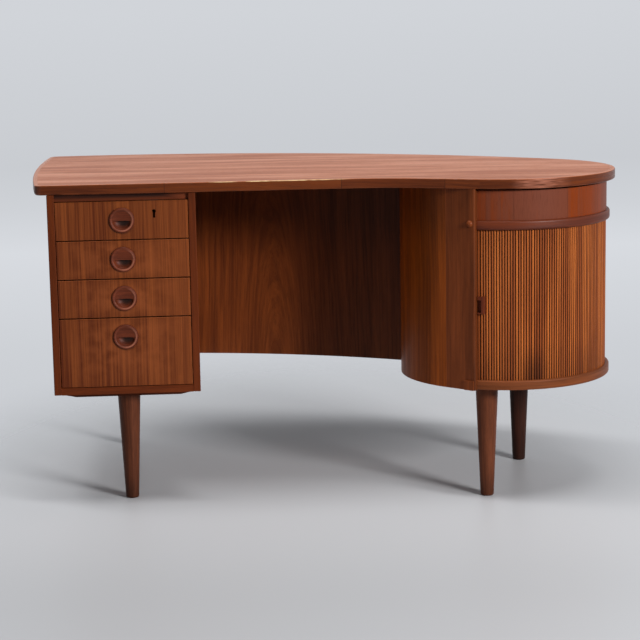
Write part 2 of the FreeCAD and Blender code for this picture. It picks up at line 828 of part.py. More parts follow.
def make_cabinet_walls():
    panel_start = door_stop + s.post_angle
    panel_sweep = full_turn - door_sweep - s.post_angle * 2
    nodes.append(
        ring("cabinet_panel", panel_radius, wall, under_carcass, carcass_height, panel_start, panel_sweep)
    )
    front_seam = door_start - s.post_angle
    nodes.append(post("front_post", front_seam, 1))
    nodes.append(post("rear_post", door_stop + s.post_angle, -1))
    flat_frame = Frame(
        cabinet.x + panel_radius * sine(front_seam),
        cabinet.y - panel_radius * cosine(front_seam),
        front_seam,
    )
    cap_radius = s.cap_diameter / 2
    dome = (cap_radius * cap_radius + s.cap_height * s.cap_height) / (s.cap_height * 2)
    cap_corners = [(zero, zero, None), (cap_radius, zero, dome), (zero, s.cap_height, None)]
    cap_place = (post_flat - s.cap_from_edge, zero, bead_level + s.cap_rise)
    nodes.append(turned("post_cap", flat_frame, cap_place, cap_corners, right_angle))
    block_place = (post_flat - s.post_rounding - s.foot_block_width, -s.foot_block_proud, under_carcass)
    block_span = (s.foot_block_width, s.foot_block_proud, s.base_thickness)
    nodes.append(board("post_foot_block", flat_frame, block_place, block_span))


def make_cabinet_boards():
    centre = (zero, zero, zero)
    base_corners = [
        (zero, under_carcass, None),
        (wall, under_carcass, None),
        (wall, groove_floor, None),
        (groove_inner, groove_floor, None),
        (groove_inner, base_top, None),
        (zero, base_top, None),
    ]
    base = turned("cabinet_base_blank", cabinet, centre, base_corners)
    legs = Frame(cabinet.x - s.cabinet_leg_shift, cabinet.y, -s.cabinet_leg_angle)
    front_leg = (zero, -s.cabinet_leg_circle)
    rear_leg = (zero, s.cabinet_leg_circle)
    holes = [
        spigot_hole("front_cabinet_hole", legs, front_leg),
        spigot_hole("rear_cabinet_hole", legs, rear_leg),
    ]
    nodes.append(cut("cabinet_base", base, *holes))
    nodes.append(leg("leg_front_right", legs, front_leg, under_carcass))
    nodes.append(leg("leg_rear_right", legs, rear_leg, under_carcass))

    track_corners = [
        (zero, bead_level, None),
        (groove_inner, bead_level, None),
        (groove_inner, groove_ceiling, None),
        (wall, groove_ceiling, None),
        (wall, bead_top, None),
        (zero, bead_top, None),
    ]
    nodes.append(turned("track_board", cabinet, centre, track_corners))
    frieze_inner = wall - s.frieze_thickness
    nodes.append(ring("frieze", wall, frieze_inner, bead_top, s.frieze_height))
    cap_inner = frieze_inner - s.cap_board_inset
    cap_bottom = frieze_top - s.cap_board_thickness
    cap_corners = [
        (zero, cap_bottom, None),
        (frieze_inner, cap_bottom, None),
        (frieze_inner, frieze_top, None),
        (cap_inner, frieze_top, None),
        (cap_inner, under_top, None),
        (zero, under_top, None),
    ]
    nodes.append(turned("cap_board", cabinet, centre, cap_corners))

    liner_outer = groove_inner - s.liner_gap
    liner_inner = liner_outer - s.liner_thickness
    liner_start = door_stop + s.liner_end_angle
    liner_sweep = full_turn - door_sweep - s.liner_end_angle * 2
    nodes.append(
        ring("cabinet_liner", liner_outer, liner_inner, base_top, door_height, liner_start, liner_sweep)
    )
    shelf_place = (zero, zero, shelf_level)
    shelf_diameter = (liner_inner - s.joint_gap) * 2
    nodes.append(rod("cabinet_shelf", cabinet, shelf_place, shelf_diameter, s.shelf_thickness))


def make_cabinet_trim():
    centre = (zero, zero, zero)
    start = door_start - right_angle
    rim_outer = wall + s.rim_width
    rim_corners = [
        (wall, under_carcass, None),
        (rim_outer - s.rim_rounding, under_carcass, s.rim_rounding),
        (rim_outer, under_carcass + s.rim_rounding, None),
        (rim_outer, base_top - s.rim_rounding, s.rim_rounding),
        (rim_outer - s.rim_rounding, base_top, None),
        (wall, base_top, None),
    ]
    nodes.append(turned("base_rim", cabinet, centre, rim_corners, zero, start, door_sweep))
    bead_outer = wall + s.bead_width
    bead_corners = [
        (wall, bead_level, None),
        (bead_outer - s.bead_rounding, bead_level, s.bead_rounding),
        (bead_outer, bead_level + s.bead_rounding, None),
        (bead_outer, bead_top - s.bead_rounding, s.bead_rounding),
        (bead_outer - s.bead_rounding, bead_top, None),
        (wall, bead_top, None),
    ]
    nodes.append(turned("bead_rail", cabinet, centre, bead_corners, zero, start, door_sweep))


def make_tambour():
    """The sliding door: slats on a canvas, a leading stile and its pull, all round the cabinet's axis."""
    level = groove_floor + s.door_end_play
    height = groove_ceiling - groove_floor - s.door_end_play * 2
    stile_start = door_start - s.stile_tuck_angle
    slats_start = stile_start + s.stile_angle
    door_angle = s.stile_angle + s.slat_pitch_angle * s.slat_count
    nodes.append(
        ring("tambour_canvas", canvas_outer, canvas_inner, level, height, stile_start, door_angle)
    )
    nodes.append(ring("tambour_stile", door_outer, canvas_outer, level, height, stile_start, s.stile_angle))

    half = (door_outer * tangent(s.slat_pitch_angle) - s.slat_gap) / 2
    crown_radius = (half * half + s.slat_crown * s.slat_crown) / (s.slat_crown * 2)
    shoulder = s.slat_crown - door_outer
    corners = [
        (-half, shoulder, crown_radius),
        (half, shoulder, None),
        (half, -canvas_outer, None),
        (-half, -canvas_outer, None),
    ]
    first_slat = Frame(cabinet.x, cabinet.y, slats_start + s.slat_pitch_angle / 2)
    slat = slab("tambour_slat", first_slat, corners, level, height)
    doc.recompute()
    axis_place = FreeCAD.Vector(cabinet.x.number, cabinet.y.number, 0)
    copies = []
    for place in range(int(s.slat_count.number)):
        copy = slat.Shape.copy()
        copy.rotate(axis_place, FreeCAD.Vector(0, 0, 1), s.slat_pitch_angle.number * place)
        copies.append(copy)
    slats = doc.addObject("Part::Feature", "tambour_slats")
    slats.Shape = Part.makeCompound(copies)
    nodes.append(slats)

    pull_start = door_start + s.door_pull_gap_angle
    pull_inner = door_outer + s.joint_gap
    pull_outer = pull_inner + s.door_pull_depth
    blank = ring(
        "door_pull_blank",
        pull_outer,
        pull_inner,
        door_pull_level,
        s.door_pull_height,
        pull_start,
        s.door_pull_angle,
    )
    pull_width = pull_outer * tangent(s.door_pull_angle)
    grip = Frame(cabinet.x, cabinet.y, pull_start)
    recess_place = (-s.cut_overrun, -pull_outer - s.cut_overrun, door_pull_level + s.door_pull_wall)
    recess_span = (
        s.cut_overrun + pull_width / 2,
        s.door_pull_depth - s.door_pull_wall + s.cut_overrun,
        s.door_pull_height - s.door_pull_wall * 2 - s.door_pull_slope,
    )
    nodes.append(cut("tambour_pull", blank, board("door_pull_recess", grip, recess_place, recess_span)))


def bay_board(label, front_radius, rear_radius, level, thickness):
    """A board between the pedestal's inner side and the cabinet, bowed like the top's back edge."""
    inner_face = FreeCAD.Vector(*[size.number for size in pedestal.at(s.pedestal_width, zero)], 0)
    backwards = heading(180 + s.pedestal_angle.number)
    round_wall = panel_radius + s.joint_gap
    outline = []
    for radius in (front_radius, rear_radius):
        at_side = line_meets_circle(inner_face, backwards, bow_centre, radius.number)
        at_wall = circles_meet(bow_centre, radius.number, end_centre, round_wall.number, 1)
        outline.append((at_side, at_wall))
    (side_front, wall_front), (side_rear, wall_rear) = outline
    corners = [
        (side_front, -front_radius),
        (wall_front, -round_wall),
        (wall_rear, rear_radius),
        (side_rear, None),
    ]
    return slab(label, floor, bare(corners), level, thickness)


def make_kneehole():
    panel_front = s.back_bow_radius - s.kneehole_setback
    panel_rear = panel_front + s.kneehole_thickness
    nodes.append(bay_board("kneehole_panel", panel_front, panel_rear, under_carcass, carcass_height))
    bay_front = panel_rear + s.joint_gap
    bay_rear = s.back_bow_radius - s.bay_overhang
    nodes.append(bay_board("bay_bottom", bay_front, bay_rear, under_carcass, s.bay_thickness))
    bay_shelf_level = under_carcass + carcass_height * s.bay_shelf_share
    nodes.append(bay_board("bay_shelf", bay_front, bay_rear, bay_shelf_level, s.bay_thickness))


make_top()
make_pedestal()
make_runners()
make_drawers()
make_kneehole()
make_cabinet_walls()
make_cabinet_boards()
make_cabinet_trim()
make_tambour()
doc.recompute()

for thing in doc.Objects:
    if "Invalid" in thing.State or "Error" in thing.State:
        raise RuntimeError(f"{thing.Label} failed: {thing.State}")
for node in nodes:
    if node.Shape.isNull() or not node.Shape.isValid() or not node.Shape.Solids:
        raise RuntimeError(f"{node.Label} has no valid solid")
for node in nodes:
    node.Shape.exportStep(f"parts/{node.Label}.step")
box = Part.makeCompound([node.Shape for node in nodes]).BoundBox
print(len(nodes), "sub-parts,", sum(len(node.Shape.Solids) for node in nodes), "solids")
print("X", box.XMin, box.XMax, "Y", box.YMin, box.YMax, "Z", box.ZMin, box.ZMax)
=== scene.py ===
"""Dresses the kidney-shaped writing desk: teak veneers, rounded lipping, turned pulls with painted
highlights and shade, a studio floor.
"""

import math

import bpy
import numpy as np
from mathutils import Matrix, Vector


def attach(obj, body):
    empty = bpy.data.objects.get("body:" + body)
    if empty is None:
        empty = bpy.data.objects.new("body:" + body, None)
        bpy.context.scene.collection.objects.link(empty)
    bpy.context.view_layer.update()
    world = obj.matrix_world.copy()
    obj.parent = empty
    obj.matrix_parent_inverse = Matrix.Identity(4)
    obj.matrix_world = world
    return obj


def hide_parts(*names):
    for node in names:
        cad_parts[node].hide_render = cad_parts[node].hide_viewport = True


bl_info = {
    "name": "Kidney Writing Desk",
    "version": (1, 0, 0),
    "blender": (4, 5, 0),
    "location": "View3D > Sidebar > Desk",
    "description": "Dresses the desk's frame in teak and sets it on a studio floor",
    "category": "Object",
}

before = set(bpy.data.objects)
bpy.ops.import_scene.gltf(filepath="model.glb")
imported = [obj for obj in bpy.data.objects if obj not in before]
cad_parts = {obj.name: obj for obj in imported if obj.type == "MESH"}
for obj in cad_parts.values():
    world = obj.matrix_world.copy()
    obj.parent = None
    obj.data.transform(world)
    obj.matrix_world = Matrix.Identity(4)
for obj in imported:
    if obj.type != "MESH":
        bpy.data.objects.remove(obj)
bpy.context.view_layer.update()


def linear(red, green, blue):
    """A screen colour of three bytes as the linear numbers that shaders use."""
    screen = np.array((red, green, blue)) / 255
    values = np.where(screen <= 0.04045, screen / 12.92, ((screen + 0.055) / 1.055) ** 2.4)
    return tuple(float(value) for value in values)


def colour(name, description, *screen):
    """A colour property, from three screen bytes."""
    return bpy.props.FloatVectorProperty(
        name=name, description=description, subtype="COLOR", min=0, max=1, default=linear(*screen)
    )


def length(name, description, default):
    """A length property, from metres."""
    return bpy.props.FloatProperty(name=name, description=description, unit="LENGTH", default=default)


def angle(name, description, degrees):
    """An angle property, from degrees."""
    return bpy.props.FloatProperty(
        name=name, description=description, subtype="ANGLE", default=math.radians(degrees)
    )


# Each wood: where it is, its pale and its dark colour as screen bytes
WOODS = {
    "top": ("writing top", (208, 121, 67), (165, 88, 44)),
    "lipping": ("solid edge", (116, 55, 22), (78, 32, 11)),
    "front": ("drawer fronts", (144, 75, 35), (90, 38, 15)),
    "case": ("pedestal's boards", (112, 49, 17), (82, 33, 9)),
    # The rail's colours are painted shade: darker than the boards, as the recess under the top lies in
    # shade
    "rail": ("recessed rail", (64, 28, 15), (38, 16, 9)),
    "kneehole": ("bowed panel", (146, 73, 31), (98, 45, 19)),
    "panel": ("cabinet's fixed wall", (173, 84, 23), (117, 54, 14)),
    "post": ("door posts", (136, 67, 30), (97, 46, 20)),
    "frieze": ("frieze", (135, 56, 13), (119, 61, 41)),
    "rim": ("base rim", (140, 76, 42), (101, 53, 27)),
    "bead": ("bead rail", (114, 49, 20), (83, 32, 12)),
    "slat": ("tambour", (208, 115, 54), (146, 73, 34)),
    "pull": ("turned pulls", (122, 56, 32), (84, 36, 20)),
    "leg": ("legs", (110, 59, 36), (77, 39, 23)),
    # Painted shade: the rear legs are darker as they stand in the cabinet's shadow
    "shaded_rear_leg": ("darker rear legs", (64, 32, 22), (42, 21, 15)),
    "box": ("drawer boxes", (196, 158, 112), (160, 120, 80)),
}


class DeskColours(bpy.types.PropertyGroup):
    """The teak's colours, piece by piece: a pale and a dark one for each wood, and some single ones."""

    # Painted highlight: the pale lit side of the pulls' beads and the glint on the lipping's end
    bead_highlight: colour("Pull bead", "Painted highlight on the pulls' beads and the lipping's end", 196, 124, 98)
    # Worn pale wood on the lipping's upper arris, made bright enough to be a painted highlight as well
    worn_lit_edge: colour("Bare edge", "Pale wood of the worn upper arris", 246, 214, 158)
    canvas: colour("Canvas", "Backing cloth of the tambour", 150, 132, 104)
    lock: colour("Lock", "Steel of the lock", 150, 148, 142)


def wood_colours():
    """A pale and a dark colour property for each wood."""
    properties = {}
    for wood, (place, light, dark) in WOODS.items():
        label = wood.replace("_", " ").capitalize()
        properties[f"{wood}_light"] = colour(f"{label} light", f"Pale grain of the {place}", *light)
        properties[f"{wood}_dark"] = colour(f"{label} dark", f"Dark grain of the {place}", *dark)
    return properties


DeskColours.__annotations__.update(wood_colours())


class DeskSizes(bpy.types.PropertyGroup):
    """Roundings that the frame leaves sharp."""

    lipping_upper: length("Lipping upper rounding", "Radius of the lipping's upper arris", 0.0024)
    lipping_lower: length("Lipping lower rounding", "Radius of the lipping's lower arris", 0.003)
    lipping_left: length("Lipping left rounding", "Radius of the lower arris at the left end", 0.0065)
    board_arris: length("Board arris", "Radius of the pedestal boards' arrises", 0.0016)
    front_arris: length("Drawer front arris", "Radius of the drawer fronts' arrises", 0.0011)
    hole_arris: length("Hole arris", "Width of the chamfer round the pulls' holes", 0.0004)


class DeskStage(bpy.types.PropertyGroup):
    """The studio round the desk."""

    floor: colour("Floor", "Pale floor under the desk", 208, 209, 212)
    backdrop: colour("Backdrop", "Pale grey behind the desk", 208, 211, 216)
    camera_distance: length("Camera distance", "From the desk's middle to the lens, level", 4.5855)
    camera_height: length("Camera height", "From the floor to the lens", 1.1654)
    camera_pitch: angle("Camera pitch", "How far the lens looks down", 9.986)
    camera_roll: angle("Camera roll", "How far the picture leans", 1.043)
    lens: bpy.props.FloatProperty(name="Lens", description="Focal length in millimetres", default=108.85)


# The frame's places that the new pieces follow, in metres
CABINET = Vector((0.4305, -0.14019, 0.0))
PEDESTAL = Matrix.Translation((-0.597, -0.34889, 0.0)) @ Matrix.Rotation(math.radians(3.6), 4, "Z")
PULL_MIDDLE = 0.1635
PULL_LEVELS = (0.64889, 0.56168, 0.47446, 0.38724)
PULL_PITCH = PULL_LEVELS[0] - PULL_LEVELS[1]
PULL_BEAD_RADIUS = 0.0234
PULL_HOLE_RADIUS = 0.0282
PULL_HOLE_DEPTH = 0.014
LOCKED_DRAWER = 1
LIPPING_WIDTH = 0.01
LIPPING_LEVELS = (0.708, 0.73)
WALL_RADIUS = 0.2333
SLAT_START = math.radians(-18.8) * WALL_RADIUS
SLAT_PITCH = math.radians(1.484) * WALL_RADIUS
POST_SEAM = math.radians(-38) * WALL_RADIUS
POST_ARRIS = math.radians(-20.6) * WALL_RADIUS

# Corners of the top's edge: x, y and the bend of the stretch that follows, hollow if negative
EDGE = (
    (-0.60749, -0.35293, 0.0),
    (0.07856, -0.31817, -0.39),
    (0.21783, -0.33645, 0.0),
    (0.35326, -0.38006, 0.252),
    (0.57791, 0.06420, 1.736),
    (-0.66142, 0.37770, 0.024),
    (-0.68233, 0.35413, 3.73),
    (-0.62404, -0.33977, 0.016),
)
STRETCHES = {"front": (0, 1, 2), "end": (3,), "back": (4,), "left": (5, 6, 7)}
EDGE_STEP = 0.02
EDGE_TURN = 0.05

# Points this many digits alike are one, and a normal this close to the face's is kept
SAME_DIGITS = 7
SMOOTH_LIMIT = 0.6

# How much the arrises of boards and of the pulls' holes are worn
BOARD_WEAR = 3
HOLE_WEAR = 0.6


def grid_quads(rows, columns):
    """Corner numbers of the quads of a grid whose columns close on themselves."""
    index = np.arange(rows * columns).reshape(rows, columns)
    ahead = np.roll(index, -1, axis=1)
    return np.stack([index[:-1], index[1:], ahead[1:], ahead[:-1]], axis=-1).reshape(-1, 4)


def new_piece(name, points, normals, quads, caps=(), **attributes):
    """A mesh from a grid: doubled points are joined, and quads with a doubled corner become triangles.

    A face corner is shaded with its point's normal where that agrees with the face, or else flat.
    """
    near = np.round(points, SAME_DIGITS)
    places, first, number = np.unique(near, axis=0, return_index=True, return_inverse=True)
    number = number.reshape(-1)
    quads = number[quads]
    doubled = quads == np.roll(quads, -1, axis=1)
    count = doubled.sum(axis=1)
    triangles = quads[count == 1][~doubled[count == 1]].reshape(-1, 3)
    ends = [number[np.asarray(cap)].tolist() for cap in caps]
    mesh = bpy.data.meshes.new(name)
    mesh.from_pydata(places.tolist(), [], quads[count == 0].tolist() + triangles.tolist() + ends)
    for label, values in attributes.items():
        store = mesh.attributes.new(label, "FLOAT", "POINT")
        store.data.foreach_set("value", np.asarray(values, float)[first])
    mesh.shade_smooth()
    corner_point = np.empty(len(mesh.loops), int)
    mesh.loops.foreach_get("vertex_index", corner_point)
    face_normal = np.empty(len(mesh.polygons) * 3)
    mesh.polygons.foreach_get("normal", face_normal)
    sides = np.empty(len(mesh.polygons), int)
    mesh.polygons.foreach_get("loop_total", sides)
    flat = np.repeat(face_normal.reshape(-1, 3), sides, axis=0)
    smooth = normals[first][corner_point]
    agree = (flat * smooth).sum(axis=1, keepdims=True) > SMOOTH_LIMIT
    mesh.normals_split_custom_set(np.where(agree, smooth, flat).tolist())
    piece = bpy.data.objects.new(name, mesh)
    bpy.context.scene.collection.objects.link(piece)
    return piece


def stand_in(piece, node, body, material):
    """Show a new piece in place of a CAD node."""
    piece.data.materials.append(material)
    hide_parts(node)
    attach(piece, body)


def edge_stretch(index):
    """Points and outward normals of one straight or round stretch of the top's edge, evenly spaced."""
    start = np.array(EDGE[index][:2])
    end = np.array(EDGE[(index + 1) % len(EDGE)][:2])
    bend = EDGE[index][2]
    chord = end - start
    span = np.linalg.norm(chord)
    left = np.array((-chord[1], chord[0])) / span
    if not bend:
        share = np.linspace(0, 1, 2 + int(span / EDGE_STEP))[:, None]
        return start + chord * share, np.broadcast_to(-left, (len(share), 2))
    turn = math.copysign(1, bend)
    centre = (start + end) / 2 + turn * left * math.sqrt(bend**2 - span**2 / 4)
    sweep = 2 * turn * math.asin(span / 2 / abs(bend))
    first = math.atan2(start[1] - centre[1], start[0] - centre[0])
    turns = first + np.linspace(0, sweep, 6 + int(abs(sweep) / EDGE_TURN + span / EDGE_STEP))
    rays = np.stack([np.cos(turns), np.sin(turns)], axis=-1)
    return centre + abs(bend) * rays, turn * rays


def lipping(name, stretches, upper, lower, steps=5):
    """Solid edging: a strip's section with two round outer arrises, carried along the top's edge.

    Rows run along the edge, columns round the section: out along the bottom, up the face, in along the
    top. The lower radius may change along the edge.
    """
    runs = [edge_stretch(index) for index in stretches]
    runs[1:] = [(plan[1:], outward[1:]) for plan, outward in runs[1:]]
    plan, outward = (np.concatenate(kind) for kind in zip(*runs))
    along = np.concatenate(([0.0], np.cumsum(np.linalg.norm(np.diff(plan, axis=0), axis=1))))
    low = lower(along)[:, None]
    bottom, top = LIPPING_LEVELS
    rise = np.linspace(0, math.pi / 2, steps + 1)
    ones = np.ones_like(low)
    inner = -LIPPING_WIDTH * ones
    out = np.concatenate(
        [inner, -low + low * np.sin(rise), -upper + upper * np.cos(rise) * ones, inner], axis=1
    )
    face = bottom + low - low * np.cos(rise), top - upper + upper * np.sin(rise) * ones
    height = np.concatenate([bottom * ones, *face, top * ones], axis=1)
    facing = np.concatenate(([0.0], np.sin(rise), np.cos(rise), [0.0]))
    lift = np.concatenate(([-1.0], -np.cos(rise), np.sin(rise), [1.0]))
    worn = np.concatenate(([0.0], np.sin(2 * rise), np.sin(2 * rise), [0.0]))
    rows, columns = out.shape
    plan = plan[:, None] + outward[:, None] * out[..., None]
    points = np.concatenate([plan, height[..., None]], axis=-1)
    normals = np.concatenate(
        [outward[:, None] * facing[:, None], np.broadcast_to(lift[:, None], (rows, columns, 1))], axis=-1
    )
    around = np.concatenate(([0.0], np.cumsum(np.hypot(np.diff(out[0]), np.diff(height[0])))))
    section = np.arange(columns)

    def spread(values):
        return np.broadcast_to(values, (rows, columns)).reshape(-1)

    return new_piece(
        name,
        points.reshape(-1, 3),
        normals.reshape(-1, 3),
        grid_quads(rows, columns),
        (section, section[::-1] + (rows - 1) * columns),
        arris=spread(worn),
        along=spread(along[:, None]),
        across=spread(around),
    )


def seen_from(matrix, name):
    """Lowest and highest corner of a CAD node in a turned frame."""
    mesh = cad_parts[name].data
    flat = np.empty(len(mesh.vertices) * 3)
    mesh.vertices.foreach_get("co", flat)
    inverse = np.array(matrix.inverted())
    local = flat.reshape(-1, 3) @ inverse[:3, :3].T + inverse[:3, 3]
    return local.min(axis=0), local.max(axis=0)


def placed(matrix, points, normals):
    """Points and normals of a turned frame, in the desk's own."""
    whole = np.array(matrix)
    return points @ whole[:3, :3].T + whole[:3, 3], normals @ whole[:3, :3].T


def rounded_board(name, node, radius, steps=4):
    """A pedestal board with round arrises: the eight parts of a small ball, moved out to its corners.

    The grid is turn by rise; where it jumps from one corner to the next it makes the flat faces.
    """
    low, high = seen_from(PEDESTAL, node)
    quarter = np.linspace(0, math.pi / 2, steps + 1)
    turn = np.concatenate([quarter + side * math.pi / 2 for side in range(4)])
    rise = np.concatenate([quarter - math.pi / 2, quarter])[:, None]
    flat, lift = np.cos(rise), np.sin(rise) * np.ones_like(turn)
    ball = np.stack([flat * np.cos(turn), flat * np.sin(turn), lift], axis=-1)
    rows, columns = ball.shape[:2]
    side = np.repeat(np.array(((1, 1), (-1, 1), (-1, -1), (1, -1))), steps + 1, axis=0)
    level = np.repeat((-1, 1), steps + 1)
    corner = np.empty_like(ball)
    corner[..., :2] = side
    corner[..., 2] = level[:, None]
    points = (low + high) / 2 + corner * ((high - low) / 2 - radius) + radius * ball
    worn = BOARD_WEAR * (1 - np.abs(ball).max(axis=-1))
    points, normals = placed(PEDESTAL, points.reshape(-1, 3), ball.reshape(-1, 3))
    foot = np.arange(0, columns, steps + 1)
    head = (rows - 1) * columns + foot
    quads = grid_quads(rows, columns)[:, ::-1]
    return new_piece(name, points, normals, quads, (foot[::-1], head), arris=worn.reshape(-1))


def drawer_front(name, node, level, sizes, steps=4, between=30):
    """A drawer front with its pull's hole, as loops from the hole's floor over the face to the back.

    Loops follow the outline, moved inwards where the arris turns over, and the hole's edge on the same
    rays.
    """
    low, high = seen_from(PEDESTAL, node)
    arris, chamfer = sizes.front_arris, sizes.hole_arris
    middle = np.array((PULL_MIDDLE, level))
    turn = np.linspace(0, math.pi / 2, steps + 1) + np.arange(4)[:, None] * math.pi / 2
    ray = np.stack([np.cos(turn), np.sin(turn)], axis=-1)
    sign = np.array(((1, 1), (-1, 1), (-1, -1), (1, -1)))[:, None]
    core = (low + high)[[0, 2]] / 2 + sign * ((high - low)[[0, 2]] / 2 - arris)
    share = np.linspace(0, 1, between + 2)[1:-1, None]

    def loop(inset):
        arcs = core + (arris - inset) * ray
        straight = arcs[:, -1:] * (1 - share) + np.roll(arcs, -1, axis=0)[:, :1] * share
        return np.concatenate([arcs, straight], axis=1).reshape(-1, 2)

    side_facing = np.array(((0, 1), (-1, 0), (0, -1), (1, 0)), float)[:, None]
    facing = np.concatenate([ray, np.broadcast_to(side_facing, (4, between, 2))], axis=1).reshape(-1, 2)
    rim = loop(arris)
    toward = rim - middle
    toward = toward / np.linalg.norm(toward, axis=1, keepdims=True)
    front, back = low[1], high[1]
    floor = front + PULL_HOLE_DEPTH
    heart, still = 0 * rim + middle, 0 * facing
    edge = middle + toward * PULL_HOLE_RADIUS
    # Each loop has its plan, its depth, its normal's share across and share toward the back, and its wear
    loops = [
        (heart, floor, still, -1.0, 0.0),
        (edge, floor, -toward, 0.0, 0.0),
        (edge, front + chamfer, -toward, 0.0, HOLE_WEAR),
        (edge + toward * chamfer, front, still, -1.0, HOLE_WEAR),
        (rim, front, still, -1.0, 0.0),
    ]
    for bend in np.linspace(0, math.pi / 2, steps + 1)[1:]:
        aside, ahead = math.sin(bend), math.cos(bend)
        depth = front + arris * (1 - ahead)
        loops.append((loop(arris * (1 - aside)), depth, facing * aside, -ahead, math.sin(2 * bend)))
    loops += [(loop(0.0), back, facing, 0.0, 0.0), (heart, back, still, 1.0, 0.0)]
    plan, depth, outward, ahead, worn = (np.array(kind) for kind in zip(*loops))
    rows, columns = plan.shape[:2]
    across = np.ones((rows, columns))
    points = np.stack([plan[..., 0], across * depth[:, None], plan[..., 1]], axis=-1)
    normals = np.stack([outward[..., 0], across * ahead[:, None], outward[..., 1]], axis=-1)
    points, normals = placed(PEDESTAL, points.reshape(-1, 3), normals.reshape(-1, 3))
    wear = across * worn[:, None]
    return new_piece(name, points, normals, grid_quads(rows, columns), arris=wear.reshape(-1))


class Nodes:
    """Adds nodes to a tree and joins them. Inputs are sockets or plain values."""

    def __init__(self, tree):
        self.tree = tree

    def feed(self, socket, value):
        if isinstance(value, bpy.types.NodeSocket):
            self.tree.links.new(value, socket)
        else:
            socket.default_value = value

    def add(self, kind, inputs=None, **settings):
        node = self.tree.nodes.new(kind)
        for name, value in settings.items():
            setattr(node, name, value)
        for key, value in (inputs or {}).items():
            self.feed(node.inputs[key], value)
        return node

    def math(self, operation, first, second=0.0, clamp=False):
        node = self.add("ShaderNodeMath", {0: first, 1: second}, operation=operation, use_clamp=clamp)
        return node.outputs[0]

    def plus(self, first, second, clamp=False):
        return self.math("ADD", first, second, clamp)

    def minus(self, first, second, clamp=False):
        return self.math("SUBTRACT", first, second, clamp)

    def times(self, first, second, clamp=False):
        return self.math("MULTIPLY", first, second, clamp)

    def apart(self, first, second):
        """How far two values lie apart."""
        return self.math("ABSOLUTE", self.minus(first, second))

    def vector(self, operation, first, second):
        return self.add("ShaderNodeVectorMath", {0: first, 1: second}, operation=operation).outputs[0]

    def parts(self, vector):
        return self.add("ShaderNodeSeparateXYZ", {0: vector}).outputs[0:3]

    def joined(self, x, y, z):
        return self.add("ShaderNodeCombineXYZ", {0: x, 1: y, 2: z}).outputs[0]

    def length(self, x, y):
        return self.math("SQRT", self.plus(self.times(x, x), self.times(y, y)))

    def noise(self, vector, scale, detail=2.0, roughness=0.5, distortion=0.0):
        inputs = {"Vector": vector, "Scale": scale, "Detail": detail}
        inputs.update({"Roughness": roughness, "Distortion": distortion})
        return self.add("ShaderNodeTexNoise", inputs).outputs[0]

    def chance(self, value):
        """A fixed random number from 0 to 1 for each whole number."""
        whole = self.math("FLOOR", value)
        return self.add("ShaderNodeTexWhiteNoise", {"W": whole}, noise_dimensions="1D").outputs[0]

    def step(self, value, start, end, amount=1.0):
        """0 before the start, the amount past the end, smooth between. The end may be the lower one."""
        inputs = {"Value": value, "From Min": start, "From Max": end, "To Max": amount}
        return self.add("ShaderNodeMapRange", inputs, interpolation_type="SMOOTHSTEP").outputs[0]

    def mix(self, amount, first, second):
        """The first colour with some of the second over it."""
        return self.add("ShaderNodeMix", {0: amount, 6: first, 7: second}, data_type="RGBA").outputs[2]

    def darkened_by(self, shade, *masks):
        """A colour with soot over it, mask by mask: real dark marks and painted shade alike."""
        for mask in masks:
            shade = self.mix(mask, shade, SOOT_AND_SHADE)
        return shade

    def attribute(self, name):
        return self.add("ShaderNodeAttribute", attribute_name=name).outputs["Fac"]


SOCKET_KINDS = {1: "NodeSocketFloat", 3: "NodeSocketVector", 4: "NodeSocketColor"}
# Near-black used both for the wood's real dark marks and for painted shade
SOOT_AND_SHADE = (0.012, 0.005, 0.003, 1.0)
ORIGIN = (0.0, 0.0, 0.0)


def open_group(name, **inputs):
    """Nodes and inputs of a new shader node group. Each input is of the kind that its first value has."""
    tree = bpy.data.node_groups.new(name, "ShaderNodeTree")
    for label, value in inputs.items():
        kind = SOCKET_KINDS[np.size(value)]
        tree.interface.new_socket(name=label, in_out="INPUT", socket_type=kind).default_value = value
    nodes = Nodes(tree)
    return nodes, nodes.add("NodeGroupInput").outputs


def close_group(nodes, **outputs):
    """The tree of a shader node group, with sockets joined to its new outputs."""
    for label, socket in outputs.items():
        nodes.tree.interface.new_socket(name=label, in_out="OUTPUT", socket_type=socket.bl_idname)
    nodes.add("NodeGroupOutput", outputs)
    return nodes.tree


# Marks of the grain: a noise by its share of the length, scale, detail, roughness and distortion,
# then the noise values where the mark begins and is full, and its strength
BANDS = (0.035, 34.0, 3.0, 0.55, 0.4), (0.36, 0.66)
STREAKS = (0.02, 170.0, 3.0, 0.6, 0.2), (0.34, 0.68)
HAIRS = (0.02, 620.0, 2.0, 0.6, 0.0), (0.52, 0.72, 0.34)
PORES = (0.02, 1250.0, 1.0, 0.5, 0.0), (0.6, 0.7)
DRIFT_SCALE = 2.6
BLOTCH_SCALE = 3.4
BLOTCH_CONTRAST = 0.5
PORE_DARKNESS = 0.25
DULLNESS = 0.12
STREAK_HEIGHT = 0.4
PORE_DEPTH = 0.8


